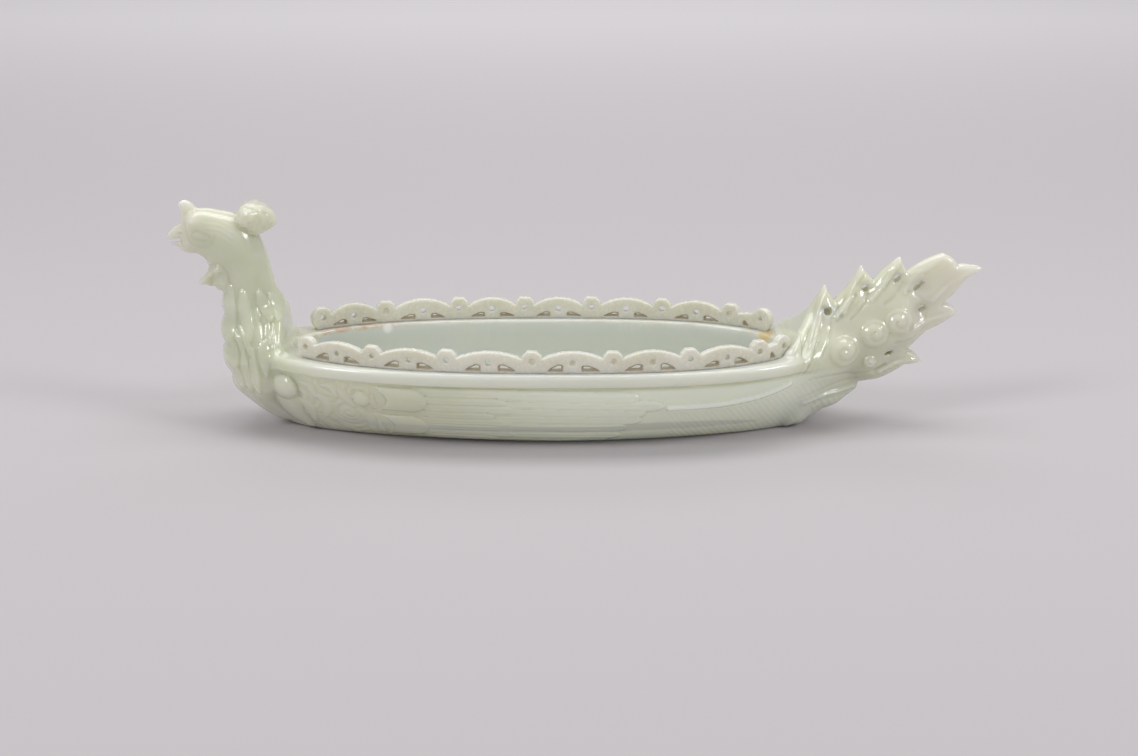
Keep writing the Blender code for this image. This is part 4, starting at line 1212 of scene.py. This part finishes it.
def cream_finish():
    """Paler, denser cream jade of the railings, with painted shade in its windows."""
    f = Finish("cream_jade")
    cloud = f.noise(60.0, 3.0, 0.5).rise(0.35, 0.7)
    foot = f.z.fall(0.0246, 0.0254)
    dirt = f.noise(340.0, 4.0, 0.6, shift=2.0).rise(0.40, 0.60)
    # Painted shade deep in the windows, and old glue along the foot.
    colour = f.layer(CREAM, (cloud, CREAM_LIGHT), (f.mark("window_shade") * 0.75, WINDOW_SHADE),
                     (foot * dirt * 0.12, OLD_GLUE))
    rough = f.noise(700.0, 2.0).rise(0.3, 0.7) * 0.08 + 0.22
    f.set(Base_Color=colour, Roughness=rough, Coat_Weight=0.2, Coat_Roughness=0.15, IOR=1.6,
          Subsurface_Weight=0.9, Subsurface_Radius=(1.0, 0.92, 0.75), Subsurface_Scale=0.0030)
    f.roughen(0.05, 0.0003, f.noise(420.0, 2.0, 0.5, shift=4.0))
    return f.material


# Setting


def pale_floor():
    """A wide pale table top, painted lighter far behind the carving for the light that falls there.
    """
    corners = [(x * TABLE_REACH, y * TABLE_REACH, 0.0)
               for x, y in ((-1, -1), (1, -1), (1, 1), (-1, 1))]
    mesh = bpy.data.meshes.new("table")
    mesh.from_pydata(corners, [], [(0, 1, 2, 3)])
    table = bpy.data.objects.new("table", mesh)
    bpy.context.scene.collection.objects.link(table)
    f = Finish("table_grey")
    # Painted light: the table lightens towards the back.
    colour = f.layer(TABLE_FRONT, (f.y.rise(-0.30, 0.05), TABLE_MIDDLE),
                     (f.y.rise(0.20, 1.40), TABLE_BACK))
    f.set(Base_Color=colour, Roughness=0.85)
    mesh.materials.append(f.material)


def aim_at(thing, place, aim):
    """Puts a lamp or the camera in its place, facing its aim."""
    thing.location = place
    thing.rotation_euler = (Vector(aim) - Vector(place)).to_track_quat("-Z", "Y").to_euler()
    bpy.context.scene.collection.objects.link(thing)


def soft_light(name, place, aim, size, power):
    lamp = bpy.data.lights.new(name, "AREA")
    lamp.shape = "RECTANGLE"
    lamp.size, lamp.size_y = size
    lamp.energy = power
    aim_at(bpy.data.objects.new(name, lamp), place, aim)


def light_and_camera():
    for name, settings in LAMPS.items():
        soft_light(name, *settings)
    world = bpy.data.worlds.new("room")
    world.use_nodes = True
    back = world.node_tree.nodes["Background"]
    back.inputs["Color"].default_value = ROOM_COLOUR
    back.inputs["Strength"].default_value = ROOM_STRENGTH
    bpy.context.scene.world = world
    bpy.context.scene.view_settings.view_transform = "Standard"
    camera = bpy.data.objects.new("camera", bpy.data.cameras.new("camera"))
    camera.data.lens = LENS
    camera.data.sensor_width = SENSOR_WIDTH
    camera.data.clip_start = 0.01
    aim_at(camera, CAMERA_PLACE, CAMERA_AIM)
    bpy.context.scene.camera = camera


def build():
    light_and_camera()
    pale_floor()
    jade, cream = jade_finish(), cream_finish()
    body = carve_body()
    body.data.materials.clear()
    body.data.materials.append(jade)
    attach(body, "root")
    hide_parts("phoenix_boat")
    tree = bend_tree()
    for name, side, plan, node, blind, seed in (
            ("port_railing", -1, PORT, "rail_port", (3, 4, 11, 12), 3),
            ("starboard_railing", 1, STARBOARD, "rail_starboard", (1, 6), 8)):
        rail = bend_rail(name, side, plan, tree, cream, blind, np.random.default_rng(seed))
        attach(rail, "root")
        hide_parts(node)


build()
